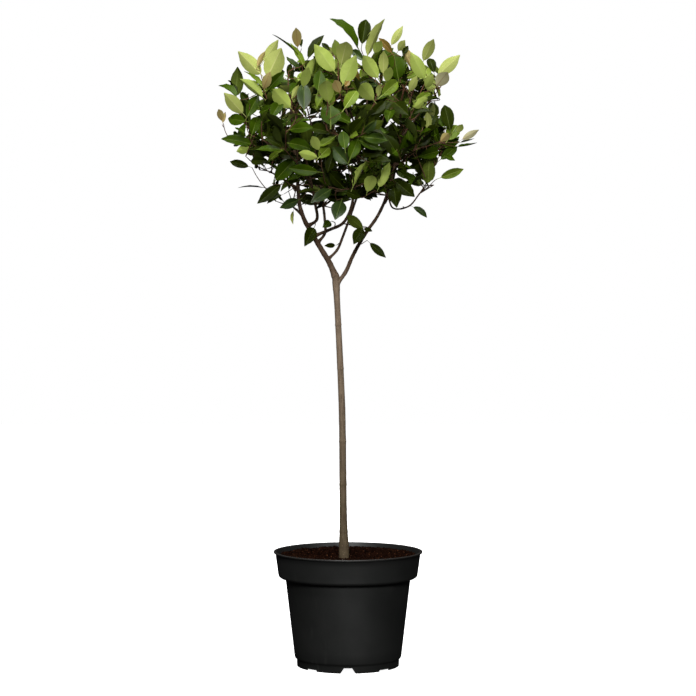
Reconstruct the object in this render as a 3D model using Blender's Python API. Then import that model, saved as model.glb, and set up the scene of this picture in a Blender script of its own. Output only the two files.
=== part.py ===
"""A potted photinia: a round crown on a clear stem, in a black nursery pot.

Metres, +Z up. The origin is the centre of the pot's underside, and the front of the plant faces -Y.
Each limb and each mass of leaves is its own closed solid. Neighbours stand GAP apart.
"""

import math
import random

import bmesh
import bpy
from mathutils import Matrix, Vector
from mathutils.bvhtree import BVHTree

# ---------------------------------------------------------------- driving dimensions

GAP = 0.0003  # between a solid and its neighbour
ROOM = 0.0006  # that leaves and twigs leave round a limb
UP = Vector((0, 0, 1))
TO_FRONT = Vector((0, -1, 0))

POT_HEIGHT = 0.200
POT_SEGMENTS = 40
WALL = 0.0020
LIP_RADIUS = 0.1300
LIP_HEIGHT = 0.0032
BAND_TOP_RADIUS = 0.1266
BAND_FOOT_RADIUS = 0.1216
BAND_FOOT_Z = 0.1600
BAND_CORNER = 0.0060  # round edge under the band
BODY_TOP_RADIUS = 0.1092
BODY_FOOT_RADIUS = 0.0932
STEP_Z = 0.0135  # the body steps in here, above its foot ring
FOOT_RADIUS = 0.0894
FOOT_WALL = 0.0030
FLOOR_Z = 0.0105  # underside of the raised floor
HUB_RADIUS = 0.0140  # flat middle foot under the floor
RIB_THICKNESS = 0.0026
RIB_Z = 0.0040
NOTCH_COUNT = 4
NOTCH_WIDTH_LOW, NOTCH_WIDTH_HIGH, NOTCH_HEIGHT = 0.0290, 0.0140, 0.0094
SLOT_WIDTH, SLOT_HEIGHT = 0.0240, 0.0030
CUT_BELOW, CUT_INSIDE, CUT_OUTSIDE = 0.002, 0.012, 0.010  # how far a cutter passes the foot ring

SOIL_MIDDLE_Z, SOIL_MIDDLE_RADIUS = 0.1868, 0.0300  # round the stem's foot
SOIL_HEAP_Z, SOIL_HEAP_RADIUS = 0.1915, 0.1020  # it is heaped up towards the wall
SOIL_EDGE_Z = 0.1900
SOIL_SLACK = 0.0004  # the pot's wall is a polygon, so the soil keeps this much more than GAP

STEM_FOOT_RADIUS = 0.0066
STEM_TOP_RADIUS = 0.0051
STEM_KNUCKLE_RADIUS = 0.0060  # swelling just under the fork
KNUCKLE_SHARE, KNUCKLE_SPREAD = 0.985, 0.030  # of the stem's height
FLARE_RADIUS, FLARE_HEIGHT = 0.0090, 0.0200
STEM_SIDES, STEM_PIECES = 12, 21
LIMB_SIDES = 6
LIMB_STEP = 0.028  # length of one straight piece of a limb
LIMB_TAPER = 1.4  # above 1 a limb thins faster near its base
BRANCH_RADIUS = 0.0023  # of a mass's own bough, at its base
BRANCH_SHARE = 0.85  # it is no thicker than this share of its parent
CLOSE = 0.004  # limbs nearer than this to a fork are cut clear of it
FINE_PIECES, ROUGH_PIECES = 96, 60  # of the smooth paths that the stem and the limbs are taken from
BEND = 0.35  # how far along its chord a bent path keeps to its first and its last direction

LEAF_LENGTH = 0.0580  # stalk and blade; a little over life, as there are fewer than on the real plant
LEAF_WIDTH = 0.0320  # of a four-cornered blade, which covers as much as a rounded one of 24 mm
LONE_LEAF_WIDTH = 0.0240  # of a leaf seen by itself
LEAF_THICKNESS = 0.0010
LEAF_WIDEST = 0.56  # the share of its length where a leaf is widest
LEAF_FOLD = 0.0034  # the midrib lies this far below the edges
LEAF_LIFT_HIGH, LEAF_LIFT_LOW = 0.40, -0.75  # how leaves rise at the crown's top and hang at its foot
LEAF_TRIES = 8
LEAF_TURN, LEAF_SHRINK = 0.85, 0.975  # between one try and the next, in radians and as a share
CHANCE_FACING = 0.7  # how far chance turns a leaf's face round
BARE_SHARE = 0.12  # of a twig, at its foot
TWIG_BASE_RADIUS, TWIG_TIP_RADIUS = 0.0017, 0.0010
SIDE_TWIG_RADIUS, SPRAY_TWIG_RADIUS = 0.0014, 0.0012
ROOT_DEPTH = 0.0040  # of a twig's or leaf's root end may lie in the twig it grows from
PETIOLE = 0.0170  # leaves of one mass may touch this near their roots
TWIG_STEP = 0.034
TWIG_SIDES = 3
SHORTEST_TWIG, LONGEST_TWIG = 0.022, 0.095
TWIG_MARKS = (0.0, 0.25, 0.5, 0.75, 1.0)  # shares of a twig that distances are measured from
TWIG_FORKS = (0.08, 0.25, 0.42, 0.6, 0.78)  # shares of a twig where another may start
NODE_SPACING = 0.0110  # between leaves on a twig
GOLDEN_ANGLE = math.radians(137.5)

CROWN_CENTRE = Vector((0.0, 0.0, 0.930))
CROWN_RADIUS, CROWN_RISE, CROWN_DROP = 0.2280, 0.1680, 0.1620
CROWN_POWER_HIGH, CROWN_POWER_LOW = 2.7, 1.75  # a square-shouldered top on a tapering foot
CROWN_ROOT = Vector((0.0, 0.0, 0.800))  # the masses fan out from here
MASS_DEPTH = 0.060  # from a mass's furthest tip back to its middle
MASS_ENTRY = 0.046  # from its middle back to where its bough ends
MASS_REACH = 0.095  # leaves keep this near to the middle
MASS_TWIGS = 4
MASS_LEAVES = 18
EDGE_ROOM = 0.012  # a twig ends this far inside its mass's space, so that its leaves have room
GOALS = 40  # places looked at before a twig picks the emptiest
SKY = [((0.218, 0.000, 0.988), 0.058)]  # open places at the crown's edge

# ---------------------------------------------------------------- the limbs, as (x, y, z) on their axes

STEM_AXIS = [
    (-0.0069, 0.0, SOIL_MIDDLE_Z + GAP),
    (-0.0085, 0.0, 0.290),
    (-0.0104, 0.0, 0.446),
    (-0.0172, 0.0, 0.600),
    (-0.0212, 0.0, 0.676),
]

# name: parent, share of its length where this one starts, first and last radius, way points, its end's mass
LIMBS = {
    "bough_left": (
        "stem",
        1.0,
        (0.0053, 0.0019),
        [
            (-0.0345, -0.001, 0.706),
            (-0.0560, -0.004, 0.741),
            (-0.0810, -0.008, 0.790),
            (-0.0880, -0.004, 0.850),
        ],
        "left_top",
    ),
    "bough_right": (
        "stem",
        0.975,
        (0.0037, 0.0018),
        [
            (-0.0050, 0.002, 0.684),
            (0.0085, 0.003, 0.714),
            (0.0260, 0.004, 0.746),
            (0.0660, 0.003, 0.815),
        ],
        "right_top",
    ),
    "limb_front": ("bough_left", 0.30, (0.0028, 0.0017), [(-0.0540, -0.026, 0.786)], "front_left_high"),
    "limb_crossing": (
        "bough_left",
        0.24,
        (0.0029, 0.0017),
        [(-0.0200, -0.010, 0.766), (0.0060, -0.020, 0.800)],
        "top",
    ),
    "limb_back": ("bough_left", 0.20, (0.0026, 0.0017), [(-0.0400, 0.022, 0.770)], "back_left_high"),
    "limb_centre": ("bough_left", 0.10, (0.0024, 0.0017), [(-0.0110, 0.018, 0.742)], "back_right_high"),
    "limb_low_right": (
        "bough_right",
        0.52,
        (0.0016, 0.0013),
        [(0.0800, -0.004, 0.7945), (0.1080, -0.008, 0.8010)],
        "right_low",
    ),
}

# name: its furthest leaf tip and, unless a limb above ends in it, the limb and share where its bough starts
MASSES = {
    "left_top": ((-0.130, 0.030, 1.096), None),
    "right_top": ((0.148, -0.010, 1.087), None),
    "top": ((0.055, -0.030, 1.121), None),
    "front_left_high": ((-0.120, -0.150, 1.045), None),
    "back_left_high": ((-0.090, 0.165, 1.040), None),
    "back_right_high": ((0.095, 0.165, 1.045), None),
    "right_low": ((0.201, -0.020, 0.866), None),
    "top_left": ((-0.031, 0.010, 1.121), ("limb_crossing", 0.52)),
    "left_high": ((-0.200, -0.020, 1.062), ("bough_left", 0.72)),
    "left": ((-0.226, 0.010, 0.985), ("bough_left", 0.58)),
    "left_low": ((-0.221, -0.020, 0.905), ("bough_left", 0.50)),
    "left_skirt": ((-0.175, 0.020, 0.825), ("bough_left", 0.36)),
    "right_high": ((0.197, 0.030, 1.055), ("bough_right", 0.80)),
    "right": ((0.228, 0.020, 0.935), ("bough_right", 0.66)),
    "right_skirt": ((0.132, -0.040, 0.838), ("bough_right", 0.46)),
    "middle_skirt": ((-0.045, -0.105, 0.775), ("limb_front", 0.28)),
    "front_right_high": ((0.110, -0.155, 1.045), ("bough_right", 0.74)),
    "front_high": ((-0.010, -0.180, 1.055), ("limb_crossing", 0.60)),
    "front_left": ((-0.135, -0.170, 0.925), ("limb_front", 0.40)),
    "front": ((0.000, -0.222, 0.935), ("limb_crossing", 0.46)),
    "front_right": ((0.140, -0.165, 0.920), ("bough_right", 0.62)),
    "front_low": ((0.010, -0.175, 0.845), ("limb_crossing", 0.36)),
    "back_left": ((-0.145, 0.165, 0.920), ("limb_back", 0.45)),
    "back": ((0.000, 0.218, 0.955), ("limb_centre", 0.60)),
    "back_right": ((0.140, 0.165, 0.920), ("limb_centre", 0.48)),
    "back_low": ((-0.010, 0.175, 0.845), ("limb_back", 0.32)),
}

# name: the limb, the share of its length, the tip of its longest leaf, how many leaves
SPRAYS = {
    "spray_left": ("limb_front", 0.12, (-0.080, -0.024, 0.724), 2),
    "spray_right": ("bough_right", 0.245, (0.071, -0.014, 0.706), 1),
    "spray_middle": ("bough_right", 0.36, (0.014, -0.040, 0.729), 3),
    "spray_low_right": ("limb_low_right", 0.42, (0.143, -0.022, 0.772), 1),
}


# ---------------------------------------------------------------- objects and materials


def clear_scene():
    for obj in list(bpy.data.objects):
        bpy.data.objects.remove(obj)


def material(name, colour, roughness, metallic=0.0):
    mat = bpy.data.materials.new(name)
    mat.use_nodes = True
    shader = mat.node_tree.nodes["Principled BSDF"]
    shader.inputs["Base Color"].default_value = (*colour, 1.0)
    shader.inputs["Roughness"].default_value = roughness
    shader.inputs["Metallic"].default_value = metallic
    mat.diffuse_color = (*colour, 1.0)
    return mat


def add_object(name, mesh, mat=None, collection=None):
    obj = bpy.data.objects.new(name, mesh)
    (collection or bpy.context.scene.collection).objects.link(obj)
    if mat:
        mesh.materials.append(mat)
    return obj


def mesh_from(name, bm):
    """The bmesh as a mesh with its faces pointing out."""
    bmesh.ops.recalc_face_normals(bm, faces=bm.faces)
    mesh = bpy.data.meshes.new(name)
    bm.to_mesh(mesh)
    bm.free()
    return mesh


def shade_round(obj, angle=math.radians(40)):
    obj.data.shade_smooth()
    obj.data.set_sharp_from_angle(angle=angle)


def apply_modifiers(obj):
    bpy.context.view_layer.update()
    evaluated = obj.evaluated_get(bpy.context.evaluated_depsgraph_get())
    mesh = bpy.data.meshes.new_from_object(evaluated)
    obj.modifiers.clear()
    obj.data = mesh


def keep_largest_body(obj):
    """Drops every loose scrap that a cut leaves beside the main body."""
    bm = bmesh.new()
    bm.from_mesh(obj.data)
    unseen, bodies = set(bm.verts), []
    while unseen:
        reached, body = [unseen.pop()], set()
        while reached:
            vert = reached.pop()
            body.add(vert)
            for edge in vert.link_edges:
                other = edge.other_vert(vert)
                if other in unseen:
                    unseen.remove(other)
                    reached.append(other)
        bodies.append(body)
    bodies.sort(key=len)
    for scrap in bodies[:-1]:
        bmesh.ops.delete(bm, geom=list(scrap), context="VERTS")
    bm.to_mesh(obj.data)
    bm.free()


# ---------------------------------------------------------------- turned shapes


def turned(name, profile, segments):
    """A closed body turned about Z from a closed outline of (radius, height). Radius 0 gives a pole."""
    bm = bmesh.new()
    rings = []
    for radius, height in profile:
        if radius == 0:
            rings.append([bm.verts.new((0, 0, height))])
            continue
        angles = (math.tau * i / segments for i in range(segments))
        rings.append([bm.verts.new((radius * math.cos(a), radius * math.sin(a), height)) for a in angles])
    for low, high in zip(rings, rings[1:] + rings[:1]):
        for i in range(segments):
            corners = [
                low[i % len(low)],
                low[(i + 1) % len(low)],
                high[(i + 1) % len(high)],
                high[i % len(high)],
            ]
            distinct = list(dict.fromkeys(corners))
            if len(distinct) > 2:
                bm.faces.new(distinct)
    return mesh_from(name, bm)


def arc(centre, radius, start_deg, end_deg, steps):
    """Points of a round corner in a (radius, height) outline."""
    angles = (math.radians(start_deg + (end_deg - start_deg) * i / steps) for i in range(steps + 1))
    return [(centre[0] + radius * math.cos(a), centre[1] + radius * math.sin(a)) for a in angles]


def wedge(name, width_low, width_high, height, turn):
    """A trapezoid bar along a radius, for cutting a notch in the foot ring."""
    bm = bmesh.new()
    ends = []
    for along in (FOOT_RADIUS - CUT_INSIDE, FOOT_RADIUS + CUT_OUTSIDE):
        low = [(-width_low / 2, -CUT_BELOW), (width_low / 2, -CUT_BELOW)]
        high = [(width_high / 2, height), (-width_high / 2, height)]
        ends.append([bm.verts.new((along, across, up)) for across, up in low + high])
    bm.faces.new(ends[0])
    bm.faces.new(reversed(ends[1]))
    for i in range(4):
        bm.faces.new((ends[0][i], ends[1][i], ends[1][(i + 1) % 4], ends[0][(i + 1) % 4]))
    obj = add_object(name, mesh_from(name, bm))
    obj.data.transform(Matrix.Rotation(turn, 4, "Z"))
    return obj


def boolean(obj, other, operation, solver="EXACT"):
    modifier = obj.modifiers.new(operation.lower(), "BOOLEAN")
    modifier.operation = operation
    modifier.solver = solver
    if isinstance(other, bpy.types.Collection):
        modifier.operand_type = "COLLECTION"
        modifier.collection = other
    else:
        modifier.object = other
    return modifier


def remove_objects(objects):
    for obj in list(objects):
        bpy.data.objects.remove(obj)


# ---------------------------------------------------------------- pot and soil


def band_radius(height):
    """Outer radius of the pot's rim band at a height."""
    share = (height - BAND_FOOT_Z) / (POT_HEIGHT - LIP_HEIGHT - BAND_FOOT_Z)
    return BAND_FOOT_RADIUS + share * (BAND_TOP_RADIUS - BAND_FOOT_RADIUS)


def make_pot(mat):
    shoulder_z = BAND_FOOT_Z - BAND_CORNER
    outer = [(FOOT_RADIUS - 0.0012, 0.0), (FOOT_RADIUS, 0.0012), (FOOT_RADIUS, STEP_Z - 0.001)]
    outer += [(BODY_FOOT_RADIUS, STEP_Z + 0.003), (BODY_TOP_RADIUS, shoulder_z)]
    outer += arc((BAND_FOOT_RADIUS - BAND_CORNER, BAND_FOOT_Z), BAND_CORNER, -80, 0, 3)
    outer += [(BAND_TOP_RADIUS, POT_HEIGHT - LIP_HEIGHT), (LIP_RADIUS, POT_HEIGHT - 0.0014)]
    outer += [(LIP_RADIUS - 0.0006, POT_HEIGHT), (BAND_TOP_RADIUS - 0.0006, POT_HEIGHT)]
    inner = [
        (BAND_TOP_RADIUS - WALL, POT_HEIGHT - LIP_HEIGHT),
        (BAND_FOOT_RADIUS - WALL, BAND_FOOT_Z),
        (BAND_FOOT_RADIUS - WALL - 0.0040, shoulder_z + WALL),
        (BODY_TOP_RADIUS - WALL, shoulder_z + WALL - 0.0006),
        (BODY_FOOT_RADIUS - WALL, STEP_Z + 0.004),
        (BODY_FOOT_RADIUS - WALL - 0.004, FLOOR_Z + WALL),
        (0, FLOOR_Z + WALL),
    ]
    under = [
        (0, 0.0),
        (HUB_RADIUS, 0.0),
        (HUB_RADIUS, FLOOR_Z),
        (FOOT_RADIUS - FOOT_WALL - 0.001, FLOOR_Z),
        (FOOT_RADIUS - FOOT_WALL, 0.0),
    ]
    pot = add_object("pot", turned("pot", outer + inner + under, POT_SEGMENTS), mat)
    cutters, ribs = [], []
    for i in range(NOTCH_COUNT):
        notch_turn = math.tau * (i + 0.25 * NOTCH_COUNT) / NOTCH_COUNT
        slot_turn = notch_turn + math.pi / NOTCH_COUNT
        cutters.append(wedge("notch", NOTCH_WIDTH_LOW, NOTCH_WIDTH_HIGH, NOTCH_HEIGHT, notch_turn))
        cutters.append(wedge("slot", SLOT_WIDTH, SLOT_WIDTH, SLOT_HEIGHT, slot_turn))
        ribs.append(rib(slot_turn))
    for cutter in cutters:
        boolean(pot, cutter, "DIFFERENCE")
    for bar in ribs:
        boolean(pot, bar, "UNION")
    apply_modifiers(pot)
    remove_objects(cutters + ribs)
    shade_round(pot)
    return pot


def rib(turn):
    """A stiffening rib under the floor, from the middle foot to the foot ring."""
    bm = bmesh.new()
    bmesh.ops.create_cube(bm, size=1)
    inner, outer = HUB_RADIUS - 0.002, FOOT_RADIUS - FOOT_WALL + 0.0008
    size = (outer - inner, RIB_THICKNESS, FLOOR_Z + WALL / 2 - RIB_Z)
    bmesh.ops.scale(bm, vec=size, verts=bm.verts)
    bmesh.ops.translate(bm, vec=((inner + outer) / 2, 0, RIB_Z + size[2] / 2), verts=bm.verts)
    bmesh.ops.rotate(bm, matrix=Matrix.Rotation(turn, 3, "Z"), verts=bm.verts)
    return add_object("rib", mesh_from("rib", bm))


def make_soil(mat):
    shoulder_z = BAND_FOOT_Z - BAND_CORNER
    clear = WALL + GAP + SOIL_SLACK
    profile = [
        (0, FLOOR_Z + WALL + GAP),
        (BODY_FOOT_RADIUS - clear - 0.0055, FLOOR_Z + WALL + GAP),
        (BODY_FOOT_RADIUS - clear - 0.0008, STEP_Z + 0.005),
        (BODY_TOP_RADIUS - clear, shoulder_z + WALL + GAP - 0.0006),
        (BAND_FOOT_RADIUS - clear - 0.0044, shoulder_z + WALL + GAP + 0.0006),
        (BAND_FOOT_RADIUS - clear - 0.0006, BAND_FOOT_Z + 0.0006),
        (band_radius(SOIL_EDGE_Z) - clear, SOIL_EDGE_Z),
        (SOIL_HEAP_RADIUS, SOIL_HEAP_Z),
        ((SOIL_HEAP_RADIUS + SOIL_MIDDLE_RADIUS) / 2, (SOIL_HEAP_Z + SOIL_MIDDLE_Z) / 2),
        (SOIL_MIDDLE_RADIUS, SOIL_MIDDLE_Z),
        (0, SOIL_MIDDLE_Z),
    ]
    soil = add_object("soil", turned("soil", profile, POT_SEGMENTS), mat)
    shade_round(soil)
    return soil


# ---------------------------------------------------------------- limbs


def through(points, count):
    """A smooth (Catmull-Rom) path of count pieces through the points."""
    pts = [Vector(p) for p in points]
    pts = [2 * pts[0] - pts[1], *pts, 2 * pts[-1] - pts[-2]]
    spans = len(pts) - 3
    path = []
    for i in range(count + 1):
        at = min(spans * i / count, spans - 1e-9)
        k, t = int(at), at - int(at)
        a, b, c, d = pts[k : k + 4]
        square, cube = 2 * a - 5 * b + 4 * c - d, 3 * b - a - 3 * c + d
        path.append(0.5 * (2 * b + (c - a) * t + square * t**2 + cube * t**3))
    return path


def bent(start, direction, end, pieces):
    """A path that leaves start along direction and curves to end, where it turns a little upwards."""
    reach = (end - start).length
    out = start + direction.normalized() * reach * BEND
    back = end - (end - start).normalized().lerp(UP, BEND).normalized() * reach * BEND
    path = []
    for i in range(pieces + 1):
        t, u = i / pieces, 1 - i / pieces
        path.append(u**3 * start + 3 * u**2 * t * out + 3 * u * t**2 * back + t**3 * end)
    return path


def path_length(path):
    return sum((b - a).length for a, b in zip(path, path[1:]))


def point_at(path, share):
    """The point and the direction at a share of the path's length."""
    target = share * path_length(path)
    for a, b in zip(path, path[1:]):
        step = (b - a).length
        if target <= step or b is path[-1]:
            return a.lerp(b, min(target / step, 1.0)), (b - a).normalized()
        target -= step
    return path[-1], (path[-1] - path[-2]).normalized()


def side_directions(path, heading=None):
    """For each point of the path, its direction and one across it that turns little from the last.

    The first direction is heading, where one is given, so that an end can be square to what it meets.
    """
    last = len(path) - 1
    tangents = [(path[min(i + 1, last)] - path[max(i - 1, 0)]).normalized() for i in range(len(path))]
    tangents[0] = heading or tangents[0]
    across = tangents[0].orthogonal().normalized()
    found = []
    for tangent in tangents:
        across = (across - tangent * across.dot(tangent)).normalized()
        found.append((tangent, across))
    return found


def tube(name, path, radii, sides, heading=None):
    """A closed tapering tube along the path, with flat ends."""
    bm = bmesh.new()
    rings = []
    for point, radius, (tangent, across) in zip(path, radii, side_directions(path, heading)):
        other = tangent.cross(across)
        angles = (math.tau * i / sides for i in range(sides))
        spokes = [across * math.cos(a) + other * math.sin(a) for a in angles]
        rings.append([bm.verts.new(point + radius * spoke) for spoke in spokes])
    for low, high in zip(rings, rings[1:]):
        for i in range(sides):
            j = (i + 1) % sides
            bm.faces.new((low[i], low[j], high[j], high[i]))
    bm.faces.new(reversed(rings[0]))
    bm.faces.new(rings[-1])
    return mesh_from(name, bm)


def surface(meshes):
    """One search tree over the meshes, which it removes."""
    points, faces = [], []
    for mesh in meshes:
        offset = len(points)
        points += [v.co.copy() for v in mesh.vertices]
        faces += [[offset + i for i in f.vertices] for f in mesh.polygons]
        bpy.data.meshes.remove(mesh)
    return BVHTree.FromPolygons(points, faces)


class Limb:
    """A limb's axis and radii, before it is cut clear of its parent."""

    def __init__(self, path, radii, sides):
        self.path, self.radii, self.sides = path, radii, sides

    def radius_at(self, share):
        at = share * (len(self.radii) - 1)
        k = min(int(at), len(self.radii) - 2)
        return self.radii[k] + (self.radii[k + 1] - self.radii[k]) * (at - k)

    def grown(self, by):
        """The same limb with its surface moved out, its ends included, for keeping others clear of it."""
        path = [p.copy() for p in self.path]
        path[0] += (path[0] - path[1]).normalized() * by
        path[-1] += (path[-1] - path[-2]).normalized() * by
        by_corner = by / math.cos(math.pi / self.sides)
        return tube("grown", path, [r + by_corner for r in self.radii], self.sides)


def stem_radius(share):
    """The stem tapers, flares at its foot and swells under the fork."""
    height = share * (STEM_AXIS[-1][2] - STEM_AXIS[0][2])
    plain = STEM_FOOT_RADIUS + (STEM_TOP_RADIUS - STEM_FOOT_RADIUS) * share
    flare = (FLARE_RADIUS - STEM_FOOT_RADIUS) * math.exp(-((height / FLARE_HEIGHT) ** 2) * 2)
    near_knuckle = math.exp(-(((share - KNUCKLE_SHARE) / KNUCKLE_SPREAD) ** 2))
    return plain + flare + (STEM_KNUCKLE_RADIUS - STEM_TOP_RADIUS) * near_knuckle


def plan_limbs():
    """Every limb, worked out before any is built."""
    flared = STEM_PIECES // 3  # the foot's pieces are shorter, for its flare
    eased = [(i / STEM_PIECES) ** 1.5 for i in range(flared)]
    eased += [i / STEM_PIECES for i in range(flared, STEM_PIECES + 1)]
    fine = through(STEM_AXIS, FINE_PIECES)
    path = [point_at(fine, share)[0] for share in eased]
    limbs = {"stem": Limb(path, [stem_radius(share) for share in eased], STEM_SIDES)}
    for name, (parent, share, (thick, thin), way, mass) in LIMBS.items():
        start, heading = point_at(limbs[parent].path, share)
        if share == 1.0:
            start = start + heading * GAP
        rough = through([start, *way, entry(mass, Vector(way[-1]))], ROUGH_PIECES)
        pieces = max(3, round(path_length(rough) / LIMB_STEP))
        path = [point_at(rough, i / pieces)[0] for i in range(pieces + 1)]
        radii = [thin + (thick - thin) * (1 - i / pieces) ** LIMB_TAPER for i in range(pieces + 1)]
        limbs[name] = Limb(path, radii, LIMB_SIDES)
    for mass, (tip, place) in MASSES.items():
        if place is None:
            continue
        parent, share = place
        start, heading = point_at(limbs[parent].path, share)
        end = entry(mass, start)
        aim = (heading + 1.2 * (end - start).normalized()).normalized()
        pieces = max(2, round((end - start).length / LIMB_STEP))
        thick = min(BRANCH_RADIUS, BRANCH_SHARE * limbs[parent].radius_at(share))
        radii = [thick + (TWIG_BASE_RADIUS - thick) * i / pieces for i in range(pieces + 1)]
        limbs["branch_" + mass] = Limb(bent(start, aim, end, pieces), radii, LIMB_SIDES)
    return limbs


def carrier(mass):
    """The limb that ends in this mass."""
    ending = [name for name, row in LIMBS.items() if row[4] == mass]
    return ending[0] if ending else "branch_" + mass


def make_limbs(limbs, mat):
    """Each limb as a solid, cut clear of the one it grows from and of the others at its fork."""
    made = {}
    for name, limb in limbs.items():
        obj = add_object(name, tube(name, limb.path, limb.radii, limb.sides), mat)
        cutters = []
        if name != "stem":
            for other in near_base(name, limbs, made):
                cutters.append(add_object("cutter", limbs[other].grown(GAP)))
                boolean(obj, cutters[-1], "DIFFERENCE")
            apply_modifiers(obj)
            keep_largest_body(obj)
            remove_objects(cutters)
        shade_round(obj)
        made[name] = obj
    return made


def near_base(name, limbs, made):
    """The limbs made already that come close to this one's first stretch."""
    limb = limbs[name]
    found = []
    for other in made:
        for near in limb.path[:2]:
            distance = min((near - p).length for p in dense(limbs[other].path))
            if distance < limb.radii[0] + max(limbs[other].radii[-3:]) + CLOSE:
                found.append(other)
                break
    return found


def dense(path):
    pieces = max(2, round(path_length(path) / CLOSE))
    return [point_at(path, i / pieces)[0] for i in range(pieces + 1)]


# ---------------------------------------------------------------- the crown's spaces


def mass_middle(tip):
    inwards = CROWN_ROOT - tip
    return tip + inwards.normalized() * min(MASS_DEPTH, 0.45 * inwards.length)


MIDDLES = {name: mass_middle(Vector(tip)) for name, (tip, _) in MASSES.items()}


def entry(mass, start):
    """Where the limb that comes from start ends and the mass's own stem begins."""
    inwards = start - MIDDLES[mass]
    return MIDDLES[mass] + inwards.normalized() * min(MASS_ENTRY, 0.55 * inwards.length)


def in_crown(point, room):
    away = point - CROWN_CENTRE
    rise, power = (CROWN_RISE, CROWN_POWER_HIGH) if away.z > 0 else (CROWN_DROP, CROWN_POWER_LOW)
    across = math.hypot(away.x, away.y) / (CROWN_RADIUS - room)
    return across**power + abs(away.z / (rise - room)) ** power <= 1.0


def in_own_cell(name, point, room):
    """True if the point is nearer to this mass's middle than to any other."""
    own = MIDDLES[name]
    for other, middle in MIDDLES.items():
        between = middle - own
        if other != name and (point - (own + middle) / 2).dot(between.normalized()) > -room:
            return False
    return True


def keeps_to(name, point, room=GAP):
    """True if the point is in this mass's own space: its cell, in reach, in the crown, out of the sky."""
    if (point - MIDDLES[name]).length > MASS_REACH - room or not in_crown(point, room):
        return False
    if any((point - Vector(centre)).length < radius + room for centre, radius in SKY):
        return False
    return in_own_cell(name, point, room)


# ---------------------------------------------------------------- leaves and twigs


def leaf_points(root, axis, face, length, width):
    """Root, one edge, tip, the other edge, and a keel under the midrib."""
    across = axis.cross(face).normalized()
    face = across.cross(axis).normalized()
    middle = root + axis * length * LEAF_WIDEST
    aside, above = across * width / 2, face * LEAF_FOLD
    keel = middle - face * LEAF_THICKNESS
    return [root, middle + aside + above, root + axis * length, middle - aside + above, keel]


LEAF_FACES = [(0, 1, 2), (0, 2, 3), (1, 0, 4), (2, 1, 4), (3, 2, 4), (0, 3, 4)]


def leaf_mesh(points):
    bm = bmesh.new()
    verts = [bm.verts.new(p) for p in points]
    for face in LEAF_FACES:
        bm.faces.new([verts[i] for i in face])
    return mesh_from("leaf", bm)


def trimmed(points, by):
    """The leaf without this much of its root end, which lies in or near the twig."""
    root = points[0] + (points[2] - points[0]).normalized() * by
    return [root, *points[1:]]


class Growth:
    """Twigs and leaves of one mass that have found room, and the tests that the next one has to pass."""

    def __init__(self, allowed, obstacles):
        self.allowed = allowed
        self.obstacles = obstacles  # limbs, and other masses' leaders
        self.twigs, self.leaves = [], []
        self.trees = []

    def add_leaf(self, points, allowed=None):
        if not all(map(allowed or self.allowed, points[1:])):
            return False
        if BVHTree.FromPolygons(trimmed(points, ROOT_DEPTH), LEAF_FACES).overlap(self.obstacles):
            return False
        tree = BVHTree.FromPolygons(trimmed(points, PETIOLE), LEAF_FACES)
        if any(tree.overlap(other) for other in self.trees):
            return False
        self.trees.append(tree)
        self.leaves.append(points)
        return True

    def add_twig(self, path, radii):
        if not all(map(self.allowed, path[1:])):
            return False
        free = [path[0] + (path[1] - path[0]).normalized() * ROOT_DEPTH, *path[1:]]
        tree = surface([tube("free", free, radii, TWIG_SIDES)])
        if tree.overlap(self.obstacles) or any(tree.overlap(other) for other in self.trees[1:]):
            return False
        self.twigs.append(tube("twig", path, radii, TWIG_SIDES))
        self.trees.append(tree)
        return True


def twig_radii(pieces, base=TWIG_BASE_RADIUS):
    return [base + (TWIG_TIP_RADIUS - base) * i / pieces for i in range(pieces + 1)]


def lift_at(height):
    """Leaves rise towards the crown's top and hang towards its foot."""
    share = (height - CROWN_CENTRE.z + CROWN_DROP) / (CROWN_RISE + CROWN_DROP)
    return LEAF_LIFT_LOW + (LEAF_LIFT_HIGH - LEAF_LIFT_LOW) * share


def leaf_face(root, axis, heading, chance):
    """The way a leaf's upper side faces: towards its twig if it stands up, else up and outwards."""
    outward = Vector((root.x, root.y, 0)).normalized()
    standing = min(max(axis.z * 1.6, 0.0), 1.0)
    hung = UP * 0.6 + outward * 0.5
    stood = heading * 0.6 + UP * 0.2 - outward * 0.2
    face = hung * (1 - standing) + stood * standing + chance
    face -= axis * face.dot(axis)
    return face.normalized() if face.length > 0.1 else axis.orthogonal().normalized()


def leaf_places(path, rng):
    """Places for leaves in a spiral down the twig from its tip.

    Each is a point, the twig's heading, the angle round it, the spread from it, a size and a chance facing.
    """
    turn = rng.uniform(0, math.tau)
    count = max(2, round(path_length(path) * (1 - BARE_SHARE) / NODE_SPACING))
    places = []
    for i in range(count):
        down = i / count
        point, heading = point_at(path, min(1.0 - (1.0 - BARE_SHARE) * down**1.15, 0.985))
        spread = math.radians(rng.uniform(26, 44) + 34 * down)
        size = rng.uniform(0.88, 1.10) * (0.86 if i < 2 else 1.0)
        facing = rng.uniform(0, math.tau)
        chance = Vector((math.cos(facing), math.sin(facing), 0)) * CHANCE_FACING
        places.append((point, heading, turn + GOLDEN_ANGLE * i, spread, size, chance))
    return places


def leaf_at(place, turned, shrunk):
    """The leaf at a place, turned round the twig and made smaller by so much."""
    point, heading, spin, spread, size, chance = place
    across = Matrix.Rotation(spin + turned, 3, heading) @ heading.orthogonal().normalized()
    axis = heading * math.cos(spread) + across * math.sin(spread) + UP * lift_at(point.z)
    axis.normalize()
    size *= shrunk
    face = leaf_face(point, axis, heading, chance)
    return leaf_points(point, axis, face, LEAF_LENGTH * size, LEAF_WIDTH * size)


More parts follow.
